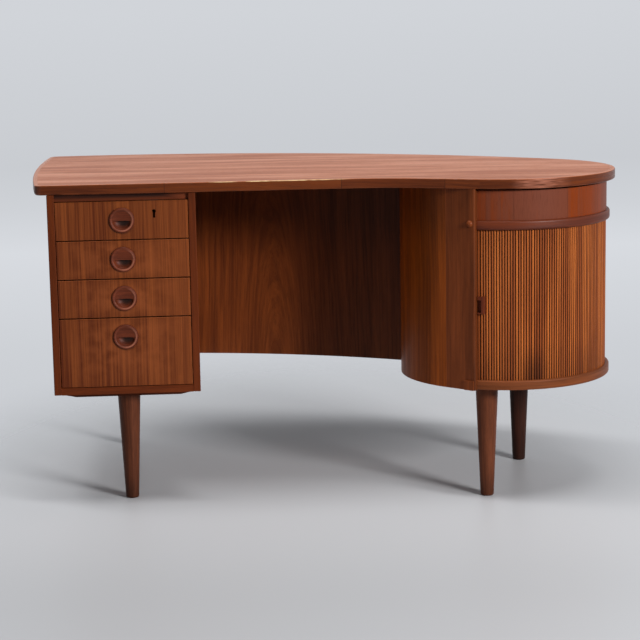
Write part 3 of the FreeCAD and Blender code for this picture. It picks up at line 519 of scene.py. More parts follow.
def make_grain_group():
    """Teak grain along Z: broad bands, streaks and pores are noises drawn out along the grain."""
    look = {"Fineness": 1.0, "Figure": 0.5, "Tone": 0.0, "Roughness": 0.42}
    nodes, given = open_group(
        "Teak grain", Vector=ORIGIN, Light=SOOT_AND_SHADE, Dark=SOOT_AND_SHADE, Sway=0.02, Shortness=1.0, **look
    )
    inputs = {"Vector": given["Vector"], "Scale": DRIFT_SCALE, "Detail": 2.0}
    drift = nodes.add("ShaderNodeTexNoise", inputs)
    centred = nodes.vector("SUBTRACT", drift.outputs["Color"], (0.5, 0.5, 0.5))
    sway = nodes.vector("MULTIPLY", centred, nodes.joined(given["Sway"], given["Sway"], 0.0))
    x, y, z = nodes.parts(nodes.vector("ADD", given["Vector"], sway))
    drawn = nodes.times(z, given["Shortness"])

    def marks(noise, limits):
        share, scale, *texture = noise
        place = nodes.joined(x, y, nodes.times(drawn, share))
        return nodes.step(nodes.noise(place, nodes.times(given["Fineness"], scale), *texture), *limits)

    bands, streaks, hairs, pores = (marks(*kind) for kind in (BANDS, STREAKS, HAIRS, PORES))
    figured = nodes.times(bands, given["Figure"])
    lined = nodes.times(streaks, nodes.minus(1.0, given["Figure"]))
    blotch = nodes.minus(nodes.noise(given["Vector"], BLOTCH_SCALE), 0.5)
    shade = nodes.plus(nodes.plus(figured, lined), nodes.times(blotch, BLOTCH_CONTRAST))
    shade = nodes.plus(shade, given["Tone"], clamp=True)
    wood = nodes.mix(shade, given["Dark"], given["Light"])
    wood = nodes.mix(hairs, wood, nodes.mix(0.5, given["Dark"], SOOT_AND_SHADE))
    wood = nodes.darkened_by(wood, nodes.times(pores, PORE_DARKNESS))
    dull = nodes.times(nodes.plus(nodes.minus(0.5, shade), pores), DULLNESS)
    rough = nodes.plus(given["Roughness"], dull, clamp=True)
    sunk = nodes.times(nodes.plus(pores, hairs), PORE_DEPTH)
    height = nodes.minus(nodes.times(streaks, STREAK_HEIGHT), sunk)
    return close_group(nodes, Color=wood, Roughness=rough, Height=height)


def make_flame_group():
    """Flame figure: the place across the grain becomes the distance from a point, drawn out along it."""
    nodes, given = open_group("Flame figure", Vector=ORIGIN, Heart=ORIGIN, Stretch=0.12)
    x, y, z = nodes.parts(nodes.vector("SUBTRACT", given["Vector"], given["Heart"]))
    across = nodes.length(x, nodes.times(z, given["Stretch"]))
    return close_group(nodes, Vector=nodes.joined(across, y, z))


def make_round_group():
    """Places round the cabinet: radius, arc length at the wall and height, from the cabinet's axis."""
    nodes, given = open_group(
        "Round the cabinet", Vector=ORIGIN, Centre=tuple(CABINET), Radius=WALL_RADIUS
    )
    x, y, z = nodes.parts(nodes.vector("SUBTRACT", given["Vector"], given["Centre"]))
    arc = nodes.times(nodes.math("ARCTAN2", x, nodes.times(y, -1.0)), given["Radius"])
    radius = nodes.length(x, y)
    upright, along = nodes.joined(arc, radius, z), nodes.joined(z, radius, arc)
    return close_group(nodes, Upright=upright, Along=along, Arc=arc, Height=z)


# Where a groove between slats begins and is full, as a share of the pitch from a slat's middle
SLAT_GROOVE = (0.2, 0.4)


def make_slat_group():
    """Slats side by side round the cabinet: a chance tone for each, and a mask in the grooves between."""
    nodes, given = open_group("Slats", Arc=0.0, Start=SLAT_START, Pitch=SLAT_PITCH)
    place = nodes.math("DIVIDE", nodes.minus(given["Arc"], given["Start"]), given["Pitch"])
    groove = nodes.step(nodes.apart(nodes.math("FRACT", place), 0.5), *SLAT_GROOVE)
    return close_group(nodes, Tone=nodes.minus(nodes.chance(place), 0.5), Groove=groove)


# Broken lengths of wear: scale and detail of their noise, and where it begins to count and is full
WEAR_NOISE, WEAR_LIMITS = (26.0, 3.0), (0.32, 0.62)
WEAR_SMOOTHING = 0.1


def make_wear_group():
    """Wear on arrises: in broken lengths the colour turns to the bare wood's and gets smoother."""
    nodes, given = open_group(
        "Edge wear", Color=SOOT_AND_SHADE, Roughness=0.4, Vector=ORIGIN, Arris=0.0, Bare=SOOT_AND_SHADE, Amount=0.6
    )
    broken = nodes.step(nodes.noise(given["Vector"], *WEAR_NOISE), *WEAR_LIMITS)
    mask = nodes.times(nodes.times(broken, given["Arris"]), given["Amount"], clamp=True)
    smooth = nodes.minus(given["Roughness"], nodes.times(mask, WEAR_SMOOTHING), clamp=True)
    return close_group(nodes, Color=nodes.mix(mask, given["Color"], given["Bare"]), Roughness=smooth)


# How far from a joint its line begins and is full
JOINT_LINE = (0.0012, 0.0002)


def make_leaf_group():
    """Joints between lengths or leaves: the tone changes at three places, and a thin mask marks them."""
    nodes, given = open_group("Leaf joints", Place=0.0, Joints=ORIGIN, Tones=ORIGIN)
    tone, line = 0.0, 0.0
    for joint, change in zip(nodes.parts(given["Joints"]), nodes.parts(given["Tones"])):
        beyond = nodes.math("GREATER_THAN", given["Place"], joint)
        tone = nodes.plus(tone, nodes.times(beyond, change))
        line = nodes.math("MAXIMUM", line, nodes.step(nodes.apart(given["Place"], joint), *JOINT_LINE))
    return close_group(nodes, Tone=tone, Line=line)


def make_pull_group():
    """Places round the nearest pull from the front: right and up from its middle, radius and depth."""
    nodes, given = open_group("Round the pulls", Vector=ORIGIN)
    inverse = PEDESTAL.inverted()
    inputs = {"Vector": given["Vector"], "Rotation": tuple(inverse.to_euler())}
    inputs["Location"] = tuple(inverse.to_translation())
    x, y, z = nodes.parts(nodes.add("ShaderNodeMapping", inputs).outputs[0])
    right, above = nodes.minus(x, PULL_MIDDLE), nodes.minus(z, PULL_LEVELS[0])
    count = nodes.math("ROUND", nodes.math("DIVIDE", above, -PULL_PITCH))
    count = nodes.math("MINIMUM", nodes.math("MAXIMUM", count, 0.0), len(PULL_LEVELS) - 1.0)
    up = nodes.plus(above, nodes.times(count, PULL_PITCH))
    return close_group(nodes, Right=right, Up=up, Radius=nodes.length(right, up), Depth=y)


GROUPS = {}


def make_groups():
    """Make the shader node groups that the finishes share."""
    GROUPS.update(
        grain=make_grain_group(),
        flame=make_flame_group(),
        round=make_round_group(),
        slats=make_slat_group(),
        wear=make_wear_group(),
        joints=make_leaf_group(),
        pulls=make_pull_group(),
    )


def opaque(value):
    """A colour of three numbers with a fourth, so that nothing is seen through it."""
    return (*value, 1.0)


def paler(value, amount=1.5):
    """A lighter colour of the same wood."""
    return tuple(min(1.0, part * amount + 0.01) for part in value)


# Turns that bring the grain's way to Z
UPRIGHT = ORIGIN
LENGTHWISE = (0.0, math.pi / 2, 0.0)
DEPTHWISE = (math.pi / 2, 0.0, 0.0)
SHEEN = 0.12
BUMP = {"Strength": 0.2, "Distance": 0.0005}


class Finish(Nodes):
    """A material under construction: its nodes, its shader and its grain."""

    def __init__(self, name, sheen=SHEEN):
        self.material = bpy.data.materials.new(name)
        self.material.use_nodes = True
        super().__init__(self.material.node_tree)
        self.shader = self.tree.nodes["Principled BSDF"]
        self.shader.inputs["Specular IOR Level"].default_value = sheen
        self.place = self.add("ShaderNodeTexCoord").outputs["Object"]

    def group(self, kind, **inputs):
        """Outputs of a shader node group."""
        return self.add("ShaderNodeGroup", inputs, node_tree=GROUPS[kind]).outputs

    def turned(self, rotation):
        """The place on the piece, turned so that the grain runs along Z."""
        return self.add("ShaderNodeMapping", {"Vector": self.place, "Rotation": rotation}).outputs[0]

    def grain(self, vector, light, dark, **look):
        """Outputs of the grain group, whose first values hold for what the look leaves out."""
        return self.group("grain", Vector=vector, Light=opaque(light), Dark=opaque(dark), **look)

    def wear(self, grain, bare, shade=None, amount=0.6):
        """Outputs of the wear group, which wears the arrises toward a barer colour."""
        return self.group(
            "wear",
            Color=shade or grain["Color"],
            Roughness=grain["Roughness"],
            Vector=self.place,
            Arris=self.attribute("arris"),
            Bare=opaque(bare),
            Amount=amount,
        )

    def done(self, shade, rough, height=None):
        """The material, from a colour, a roughness and the height of its bump."""
        self.feed(self.shader.inputs["Base Color"], shade)
        self.feed(self.shader.inputs["Roughness"], rough)
        if height is not None:
            bump = self.add("ShaderNodeBump", {**BUMP, "Height": height})
            self.feed(self.shader.inputs["Normal"], bump.outputs[0])
        return self.material

    def coated(self, grain, *darkenings, shade=None):
        """The material, with the grain's roughness and height, and darkening over its colour, mask by
        mask, for real marks and painted shade alike.
        """
        shade = self.darkened_by(shade or grain["Color"], *darkenings)
        return self.done(shade, grain["Roughness"], grain["Height"])

    def worn(self, grain, bare, shade=None):
        """The material, with its arrises worn."""
        wear = self.wear(grain, bare, shade)
        return self.done(wear["Color"], wear["Roughness"], grain["Height"])


def plain_wood(name, light, dark, rotation=UPRIGHT):
    """Solid or veneered teak with its grain along one axis of the desk."""
    finish = Finish(name)
    return finish.worn(finish.grain(finish.turned(rotation), light, dark), paler(light))


def round_wood(name, light, dark, sheen=SHEEN):
    """Teak bent round the cabinet, with its grain along the bend."""
    finish = Finish(name, sheen)
    places = finish.group("round", Vector=finish.place)
    return finish.coated(finish.grain(places["Along"], light, dark))


def dress(material, *names):
    """Give CAD nodes a material."""
    for name in names:
        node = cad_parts[name]
        if not node.material_slots:
            node.data.materials.append(material)
        for slot in node.material_slots:
            slot.material = material


class DeskOperator(bpy.types.Operator):
    """Shared parts of the desk's operators."""

    bl_options = {"REGISTER", "UNDO"}

    @property
    def tones(self):
        return bpy.context.scene.desk_colours

    @property
    def sizes(self):
        return bpy.context.scene.desk_sizes

    def pair(self, wood):
        """The pale and the dark colour of one wood."""
        return getattr(self.tones, f"{wood}_light"), getattr(self.tones, f"{wood}_dark")


# In the limits below, a mark begins at the first number and is full at the second. A third is its strength

# The top's veneer, and its paler and darker patches
TOP_HEART = (-0.72, 0.02, 0.9)
TOP_STRETCH = 0.05
TOP_LOOK = {"Figure": 0.6, "Fineness": 0.6, "Roughness": 0.38, "Sway": 0.05, "Shortness": 2.4}
PATCH_SPREAD = (0.7, 5.5, 1.0)
PATCH_NOISE, PATCH_LIMITS = (3.2, 1.0), (0.32, 0.68, 0.64)
PATCH_MEAN = 0.32

# The lipping: places along its edges in metres, and the upward tilt where it is bleached or worn; the
# painted highlights on its end and on its upper arris lie between the places given
CORNER_BLEND = 0.12
FRONT_JOINTS = {"Joints": (0.2703, 0.6611, 0.8927), "Tones": (0.3, -0.35, 0.25)}
NO_JOINTS = {"Joints": (9.0, 9.0, 9.0), "Tones": ORIGIN}
LENGTH_OFFSET = 3.0
LIPPING_LOOK = {"Fineness": 1.6, "Figure": 0.45, "Roughness": 0.3}
LIPPING_WEAR = 0.55
BLEACHED_TILT = (0.6, 1.0, 0.75)
WORN_LIT_ARRIS = (0.38, 0.66)
BARE_TILT = (0.1, 0.5)
BARE_NOISE, BARE_LIMITS = (24.0, 3.0), (0.34, 0.6)
HIGHLIGHT_END = (0.085, 0.185)
HIGHLIGHT_STRETCH = 22.0
HIGHLIGHT_NOISE, HIGHLIGHT_LIMITS = (26.0, 3.0), (0.3, 0.7, 0.75)
SOFT_START, SOFT_END = 0.02, 0.03
LIPPING_LINE = 0.6


class DESK_OT_top(DeskOperator):
    """Veneer the writing top and edge it with rounded lipping."""

    bl_idname = "desk.top"
    bl_label = "Writing top"

    def execute(self, context):
        dress(self.veneer_finish(), "desk_top")
        front = self.lipping_finish("front lipping teak", 0.15, FRONT_JOINTS, worn_lit_arris=WORN_LIT_ARRIS)
        plain = self.lipping_finish("lipping teak", 0.25)
        painted_highlight = self.lipping_finish("end lipping teak", 0.15, painted_highlight=HIGHLIGHT_END)
        finishes = {"front": front, "end": painted_highlight}
        sizes = self.sizes

        def lower(from_corner):
            """Radius of the lower arris, which grows to the left end's near the corners there."""
            share = np.clip(1 - from_corner / CORNER_BLEND, 0, 1)
            return sizes.lipping_lower + (sizes.lipping_left - sizes.lipping_lower) * share

        rules = {
            "front": lower,
            "end": lambda along: lower(along + CORNER_BLEND),
            "back": lambda along: lower(along[-1] - along),
            "left": lambda along: lower(0 * along),
        }
        for side, stretches in STRETCHES.items():
            piece = lipping(f"rounded_lipping_{side}", stretches, sizes.lipping_upper, rules[side])
            stand_in(piece, f"top_lipping_{side}", "carcass", finishes.get(side, plain))
        return {"FINISHED"}

    def veneer_finish(self):
        """Long flame figure along the desk, in broad paler and darker patches."""
        light, dark = self.pair("top")
        finish = Finish("top veneer", sheen=0.3)
        flame = finish.group(
            "flame", Vector=finish.turned(LENGTHWISE), Heart=TOP_HEART, Stretch=TOP_STRETCH
        )
        spread = finish.vector("MULTIPLY", finish.place, PATCH_SPREAD)
        patches = finish.step(finish.noise(spread, *PATCH_NOISE), *PATCH_LIMITS)
        tone = finish.minus(patches, PATCH_MEAN)
        grain = finish.grain(flame["Vector"], light, dark, Tone=tone, **TOP_LOOK)
        return finish.worn(grain, paler(light))

    def within(self, finish, along, places):
        """1 between two places along an edge, 0 beyond them."""
        first, last = places
        begun = finish.step(along, first - SOFT_START, first + SOFT_START)
        return finish.minus(begun, finish.step(along, last - SOFT_END, last + SOFT_END))

    def lipping_finish(self, name, sheen, joints=NO_JOINTS, painted_highlight=None, worn_lit_arris=None):
        """Solid teak with its grain along the edge, in several lengths, bleached on top like the veneer.

        Between the two highlighted places its face carries a painted highlight in broken streaks, and
        between the places of the worn arris its upper arris is worn to the pale wood and painted bright as
        a highlight.
        """
        tones = self.tones
        light, dark = self.pair("lipping")
        finish = Finish(name, sheen)
        along, across = finish.attribute("along"), finish.attribute("across")
        lengths = finish.group("joints", Place=along, **joints)
        vector = finish.joined(across, finish.times(lengths["Tone"], LENGTH_OFFSET), along)
        grain = finish.grain(vector, light, dark, Tone=lengths["Tone"], **LIPPING_LOOK)
        wear = finish.wear(grain, paler(light, amount=1.6), amount=LIPPING_WEAR)
        tilt = finish.parts(finish.add("ShaderNodeNewGeometry").outputs["Normal"])[2]
        shade = finish.mix(finish.step(tilt, *BLEACHED_TILT), wear["Color"], opaque(tones.top_light))
        # The upper arris is worn pale in broken lengths, and its brightness is also a painted highlight
        # from the light above
        if worn_lit_arris:
            upper = finish.times(finish.attribute("arris"), finish.step(tilt, *BARE_TILT))
            broken = finish.step(finish.noise(finish.joined(along, 0.0, 0.0), *BARE_NOISE), *BARE_LIMITS)
            bare = finish.times(broken, self.within(finish, along, worn_lit_arris))
            shade = finish.mix(finish.times(upper, bare), shade, opaque(tones.worn_lit_edge))
        # Painted highlight: pale broken streaks on the end's face, where the side lamp glints
        if painted_highlight:
            drawn = finish.joined(finish.times(across, HIGHLIGHT_STRETCH), 0.0, along)
            streaks = finish.step(finish.noise(drawn, *HIGHLIGHT_NOISE), *HIGHLIGHT_LIMITS)
            pale = finish.times(self.within(finish, along, painted_highlight), streaks)
            shade = finish.mix(pale, shade, opaque(tones.bead_highlight))
        shade = finish.darkened_by(shade, finish.times(lengths["Line"], LIPPING_LINE))
        return finish.done(shade, wear["Roughness"], grain["Height"])


# Painted light on the shaded rail: paler by height toward its lower edge, and to the right of the pulls'
# middle
RAIL_LIT_LOWER_EDGE = (0.703, 0.694, 0.5)
RAIL_LIT_RIGHT_END = (0.08, 0.15, 0.8)


class DESK_OT_pedestal(DeskOperator):
    """Build the pedestal's boards with round arrises, and finish its battens and rail."""

    bl_idname = "desk.pedestal"
    bl_label = "Pedestal"

    def execute(self, context):
        case = plain_wood("pedestal teak", *self.pair("case"))
        for part in ("outer_side", "inner_side", "back"):
            board = rounded_board(f"rounded_{part}", f"pedestal_{part}", self.sizes.board_arris)
            stand_in(board, f"pedestal_{part}", "carcass", case)
        cross = plain_wood("cross grain teak", *self.pair("case"), LENGTHWISE)
        dress(cross, "pedestal_bottom", "pedestal_battens")
        dress(self.rail_finish(), "pedestal_rail")
        dress(plain_wood("runner wood", *self.pair("box"), DEPTHWISE), "drawer_runners")
        return {"FINISHED"}

    def rail_finish(self):
        """Teak painted dark as the shade under the top, with painted light toward the rail's lower edge
        and its right end.
        """
        finish = Finish("rail teak")
        grain = finish.grain(finish.turned(LENGTHWISE), *self.pair("rail"))
        low = finish.step(finish.parts(finish.place)[2], *RAIL_LIT_LOWER_EDGE)
        pulls = finish.group("pulls", Vector=finish.place)
        end = finish.step(pulls["Right"], *RAIL_LIT_RIGHT_END)
        pale = opaque(paler(self.tones.case_light))
        shade = finish.mix(finish.math("MAXIMUM", low, end), grain["Color"], pale)
        return finish.coated(grain, shade=shade)


# The drawer fronts' painted light, paler toward the upper right as if lit from there, and the painted
# shadow that each pull casts: by distance from a pull and to its lower left
FRONT_LOOK = {"Fineness": 1.5, "Figure": 0.35, "Sway": 0.006, "Shortness": 0.45}
FRONT_MIDDLE = 0.5
LIT_RIGHT, LIT_UP = 1.1, 0.5
PULL_SHADOW = (0.033, PULL_HOLE_RADIUS, 0.6)
PULL_SHADOW_SIDE = (-0.012, 0.02)
PULL_SHADOW_SHARE = 0.7

# The pulls: the bead by distance from its crest, a painted highlight on its right and lower side, and
# painted shade by depth in the scoop
BEAD_EDGE = (0.0024, 0.0008)
HIGHLIGHT_RIGHT, HIGHLIGHT_DOWN = 0.8, 0.3
BEAD_HIGHLIGHT = (-0.006, 0.018, 0.5)
LEAST_HIGHLIGHT = 0.05
SCOOP_LEAN = 0.13
SCOOP_SHADE = (0.0045, 0.0088, 0.93)
STEEL_NOISE = 300.0


class DESK_OT_drawers(DeskOperator):
    """Build the drawer fronts, and finish the boxes, the pulls and the lock.

    The locked drawer keeps the frame's own front, which leaves room for the lock and its bolt.
    """

    bl_idname = "desk.drawers"
    bl_label = "Drawers"

    def execute(self, context):
        front = self.front_finish()
        pull = self.pull_finish()
        box = plain_wood("drawer box wood", *self.pair("box"), DEPTHWISE)
        for count, level in enumerate(PULL_LEVELS, 1):
            drawer = f"drawer_{count}"
            if count == LOCKED_DRAWER:
                dress(front, f"{drawer}_front")
            else:
                board = drawer_front(f"{drawer}_veneered_front", f"{drawer}_front", level, self.sizes)
                stand_in(board, f"{drawer}_front", drawer, front)
            dress(pull, f"{drawer}_pull")
            dress(box, *(f"{drawer}_{part}" for part in ("sides", "back", "bottom")))
        steel = Finish("lock steel", sheen=0.5)
        steel.shader.inputs["Metallic"].default_value = 1.0
        rough = steel.noise(steel.place, STEEL_NOISE)
        dress(steel.done(opaque(self.tones.lock), rough), "lock_body", "lock_bolt")
        return {"FINISHED"}

    def front_finish(self):
        """Upright veneer, painted paler up toward the right as if lit from there, with a painted shadow
        below and left of each pull.
        """
        light, dark = self.pair("front")
        finish = Finish("drawer front veneer")
        pulls = finish.group("pulls", Vector=finish.place)
        height = finish.minus(finish.parts(finish.place)[2], FRONT_MIDDLE)
        tone = finish.plus(finish.times(pulls["Right"], LIT_RIGHT), finish.times(height, LIT_UP))
        grain = finish.grain(finish.place, light, dark, Tone=tone, **FRONT_LOOK)
        lower_left = finish.times(finish.plus(pulls["Right"], pulls["Up"]), -PULL_SHADOW_SHARE)
        near = finish.step(pulls["Radius"], *PULL_SHADOW)
        pull_shadow = finish.times(near, finish.step(lower_left, *PULL_SHADOW_SIDE))
        return finish.worn(grain, paler(light), finish.darkened_by(grain["Color"], pull_shadow))

    def pull_finish(self):
        """Turned teak, with a painted highlight on the bead and painted shade deep in the scoop under the
        lip.
        """
        finish = Finish("turned pull teak", sheen=0.15)
        grain = finish.grain(finish.turned(LENGTHWISE), *self.pair("pull"), Fineness=1.5)
        pulls = finish.group("pulls", Vector=finish.place)
        bead = finish.step(finish.apart(pulls["Radius"], PULL_BEAD_RADIUS), *BEAD_EDGE)
        side = finish.minus(finish.times(pulls["Right"], HIGHLIGHT_RIGHT), finish.times(pulls["Up"], HIGHLIGHT_DOWN))
        painted_highlight = finish.times(bead, finish.plus(finish.step(side, *BEAD_HIGHLIGHT), LEAST_HIGHLIGHT))
        shade = finish.mix(painted_highlight, grain["Color"], opaque(self.tones.bead_highlight))
        deep = finish.plus(pulls["Depth"], finish.times(pulls["Right"], SCOOP_LEAN))
        return finish.coated(grain, finish.step(deep, *SCOOP_SHADE), shade=shade)


# The bowed panel's flame, and its painted shadow: toward the right where the cabinet shades it, inward
# from the left, and close under the top
KNEEHOLE_HEART = (-0.11, 0.0, 0.1)
KNEEHOLE_SHADE_RIGHT = (-0.2, 0.15, 0.46)
KNEEHOLE_SHADE_INWARD = (-0.27, -0.15, 0.28)
KNEEHOLE_SHADE_HEAD = (0.46, 0.64)
LEAST_HEAD_SHADE = 0.17


class DESK_OT_kneehole(DeskOperator):
    """Finish the bowed panel and the shelves behind it."""

    bl_idname = "desk.kneehole"
    bl_label = "Kneehole and rear bay"

    def execute(self, context):
        dress(self.panel_finish(), "kneehole_panel")
        shelf = plain_wood("bay shelf teak", *self.pair("case"), LENGTHWISE)
        dress(shelf, "bay_bottom", "bay_shelf")
        return {"FINISHED"}

    def panel_finish(self):
        """Flame veneer, painted darker as in shadow at the right and close under the top."""
        finish = Finish("kneehole veneer")
        flame = finish.group("flame", Vector=finish.place, Heart=KNEEHOLE_HEART)
        grain = finish.grain(flame["Vector"], *self.pair("kneehole"), Figure=0.42)
        x, _, z = finish.parts(finish.place)
        head_shade_amount = finish.plus(finish.step(x, *KNEEHOLE_SHADE_INWARD), LEAST_HEAD_SHADE)
        high = finish.step(z, *KNEEHOLE_SHADE_HEAD, head_shade_amount)
        return finish.coated(grain, finish.step(x, *KNEEHOLE_SHADE_RIGHT), high)


# The cabinet's marks: painted shade by height under the top on the bent panel, the width and strength of
# the posts' lines (a pale seam, and painted shade along the arris by the tambour), and the frieze's joints
# along the arc with the changes of tone there
PANEL_HEAD_SHADE = (0.54, 0.68, 0.46)
SEAM_LINE = (0.0012, 0.0, 0.4)
ARRIS_SHADE_LINE = (0.007, 0.0, 0.34)
NEAR_LEAVES = {"Joints": (-0.063, -0.002, 0.1262), "Tones": (-0.25, -0.4, 0.85)}
FAR_LEAVES = {"Joints": (0.26, 0.39, 0.52), "Tones": (-0.35, 0.3, -0.4)}
LEAF_LINE = 0.35


class DESK_OT_cabinet(DeskOperator):
    """Finish the round cabinet's wall, posts, frieze, bead, rim and inside."""

    bl_idname = "desk.cabinet"
    bl_label = "Round cabinet"

    def execute(self, context):
        dress(self.panel_finish(), "cabinet_panel")
        dress(self.post_finish(), "front_post", "rear_post")
        dress(plain_wood("post block teak", *self.pair("post")), "post_cap", "post_foot_block")
        dress(self.frieze_finish(), "frieze")
        dress(round_wood("rim teak", *self.pair("rim")), "base_rim")
        dress(round_wood("bead teak", *self.pair("bead"), sheen=0.25), "bead_rail")
        inside = plain_wood("cabinet board", *self.pair("case"), LENGTHWISE)
        dress(inside, "cabinet_base", "track_board", "cap_board", "cabinet_shelf", "cabinet_liner")
        return {"FINISHED"}

    def panel_finish(self):
        """Upright bent veneer, with painted shade close under the top."""
        finish = Finish("bent panel veneer")
        places = finish.group("round", Vector=finish.place)
        grain = finish.grain(places["Upright"], *self.pair("panel"))
        high = finish.step(places["Height"], *PANEL_HEAD_SHADE)
        return finish.coated(grain, high)

    def post_finish(self):
        """Upright teak, pale along its seam with the bent panel, with painted shade along its outer arris
        by the tambour.
        """
        light, dark = self.pair("post")
        finish = Finish("post teak")
        places = finish.group("round", Vector=finish.place)
        grain = finish.grain(places["Upright"], light, dark)
        seam = finish.step(finish.apart(places["Arc"], POST_SEAM), *SEAM_LINE)
        arris = finish.step(finish.apart(places["Arc"], POST_ARRIS), *ARRIS_SHADE_LINE)
        shade = finish.mix(seam, grain["Color"], opaque(paler(light, amount=2.2)))
        return finish.coated(grain, arris, shade=shade)

    def frieze_finish(self):
        """Upright veneer in leaves of different tones."""
        finish = Finish("frieze veneer")
        places = finish.group("round", Vector=finish.place)
        near = finish.group("joints", Place=places["Arc"], **NEAR_LEAVES)
        far = finish.group("joints", Place=places["Arc"], **FAR_LEAVES)
        tone = finish.plus(near["Tone"], far["Tone"])
        grain = finish.grain(places["Upright"], *self.pair("frieze"), Tone=tone)
        line = finish.times(finish.math("MAXIMUM", near["Line"], far["Line"]), LEAF_LINE)
        return finish.coated(grain, line)


# The tambour: how much the slats differ, painted shade in the grooves, the stain's middle and reach along
# the arc and up, and darkening by height at the foot
SLAT_CONTRAST = 0.9
GROOVE_SHADE = 0.92
STAIN_ARC, STAIN_WIDTH = 0.045, 0.042
STAIN_LEVEL, STAIN_HEIGHT = 0.284, 0.085
STAIN_LIMITS = (1.0, 0.1, 0.5)
TAMBOUR_FOOT = (0.38, 0.28, 0.24)
WEAVE_NOISE = 900.0
WEAVE_DARK = (0.1, 0.08, 0.05, 1.0)
CLOTH_ROUGHNESS = 0.9


class DESK_OT_tambour(DeskOperator):
    """Finish the tambour's slats, stile, pull and canvas."""

    bl_idname = "desk.tambour"
    bl_label = "Tambour"

    def execute(self, context):
        dress(self.slat_finish(), "tambour_slats", "tambour_stile")
        dress(plain_wood("door pull teak", *self.pair("pull")), "tambour_pull")
        cloth = Finish("tambour canvas", sheen=0.1)
        weave = cloth.noise(cloth.place, WEAVE_NOISE)
        shade = cloth.mix(weave, opaque(self.tones.canvas), WEAVE_DARK)
        dress(cloth.done(shade, CLOTH_ROUGHNESS), "tambour_canvas")
        return {"FINISHED"}

    def slat_finish(self):
        """Upright teak, different on each slat, with painted shade in the grooves and an old stain near
        the foot.
        """
        finish = Finish("tambour teak")
        places = finish.group("round", Vector=finish.place)
        slats = finish.group("slats", Arc=places["Arc"])
        tone = finish.times(slats["Tone"], SLAT_CONTRAST)
        grain = finish.grain(places["Upright"], *self.pair("slat"), Figure=0.7, Tone=tone)
        groove = finish.times(slats["Groove"], GROOVE_SHADE)
        beside = finish.math("DIVIDE", finish.minus(places["Arc"], STAIN_ARC), STAIN_WIDTH)
        above = finish.math("DIVIDE", finish.minus(places["Height"], STAIN_LEVEL), STAIN_HEIGHT)
        stain = finish.step(finish.length(beside, above), *STAIN_LIMITS)
        foot = finish.step(places["Height"], *TAMBOUR_FOOT)
        return finish.coated(grain, groove, stain, foot)


# The front legs' painted light, the left one darker as in shade and the right one paler as lit, and
# darkening by height at their feet
FRONT_LEG_LIGHT = {"left": -0.15, "right": 0.2}
LEG_FOOT = (0.08, 0.0, 0.45)


class DESK_OT_legs(DeskOperator):
    """Finish the four turned legs."""

    bl_idname = "desk.legs"
    bl_label = "Legs"

    def execute(self, context):
        for side, tone in FRONT_LEG_LIGHT.items():
            dress(self.leg_finish(f"{side} leg teak", "leg", tone), f"leg_front_{side}")
        # The rear legs take the darker colours, painted as the shade they stand in
        dress(self.leg_finish("shaded rear leg teak", "shaded_rear_leg", 0.0), "leg_rear_left", "leg_rear_right")
        return {"FINISHED"}

    def leg_finish(self, name, wood, tone):
        """Upright teak, darker toward the foot."""
        finish = Finish(name)
        grain = finish.grain(finish.place, *self.pair(wood), Fineness=1.4, Tone=tone)
        foot = finish.step(finish.parts(finish.place)[2], *LEG_FOOT)
        return finish.coated(grain, foot)


# Lamps: place, target, power in watts, width and height
LAMPS = {
    "side lamp": ((3.4, -3.9, 2.1), (0.1, -0.15, 0.4), 228.0, 1.2, 1.0),
    "roof lamp": ((-0.4, -0.78, 5.0), (0.0, -0.05, 0.0), 132.0, 4.2, 0.6),
}

# The floor: its rings and sides, its painted shade toward the camera, and where it fades into the backdrop
FLOOR_RADII, FLOOR_RINGS, FLOOR_SIDES = (0.4, 4.0), 10, 64
FLOOR_ROUGHNESS = 0.4
FLOOR_NEAR_SHADE, FLOOR_NEAR_SHADE_TONE = (-1.1, -0.45), 0.85
FLOOR_NARROWING, FLOOR_FORWARD = 1.8, 0.6
FLOOR_FADE = (2.3, 0.9)

# Soft light of the world: its tint, its least strength, and the rise of that away from the side lamp
AMBIENT_TINT = (0.97, 0.985, 1.0, 1.0)
AMBIENT_LEAST = 0.03
AMBIENT_RISE = (-0.1, 0.6, 0.3)
AMBIENT_AHEAD, AMBIENT_RIGHT = 0.6, 0.8

# Brightness of the backdrop from low to high, each with its place up the picture
BACKDROP_BAND = (
    (0.144, 0.935),
    (0.266, 0.975),
    (0.347, 1.02),
    (0.459, 1.085),
    (0.552, 0.98),
    (0.633, 0.925),
    (0.938, 1.01),
)
BAND_SPREAD = 4.0


def add_lamp(name, place, target, power, width, height):
    """A soft rectangular lamp that faces a point."""
    lamp = bpy.data.lights.new(name, "AREA")
    lamp.energy = power
    lamp.shape, lamp.size, lamp.size_y = "RECTANGLE", width, height
    holder = bpy.data.objects.new(name, lamp)
    holder.location = place
    holder.rotation_euler = (Vector(target) - Vector(place)).to_track_quat("-Z", "Y").to_euler()
    bpy.context.scene.collection.objects.link(holder)


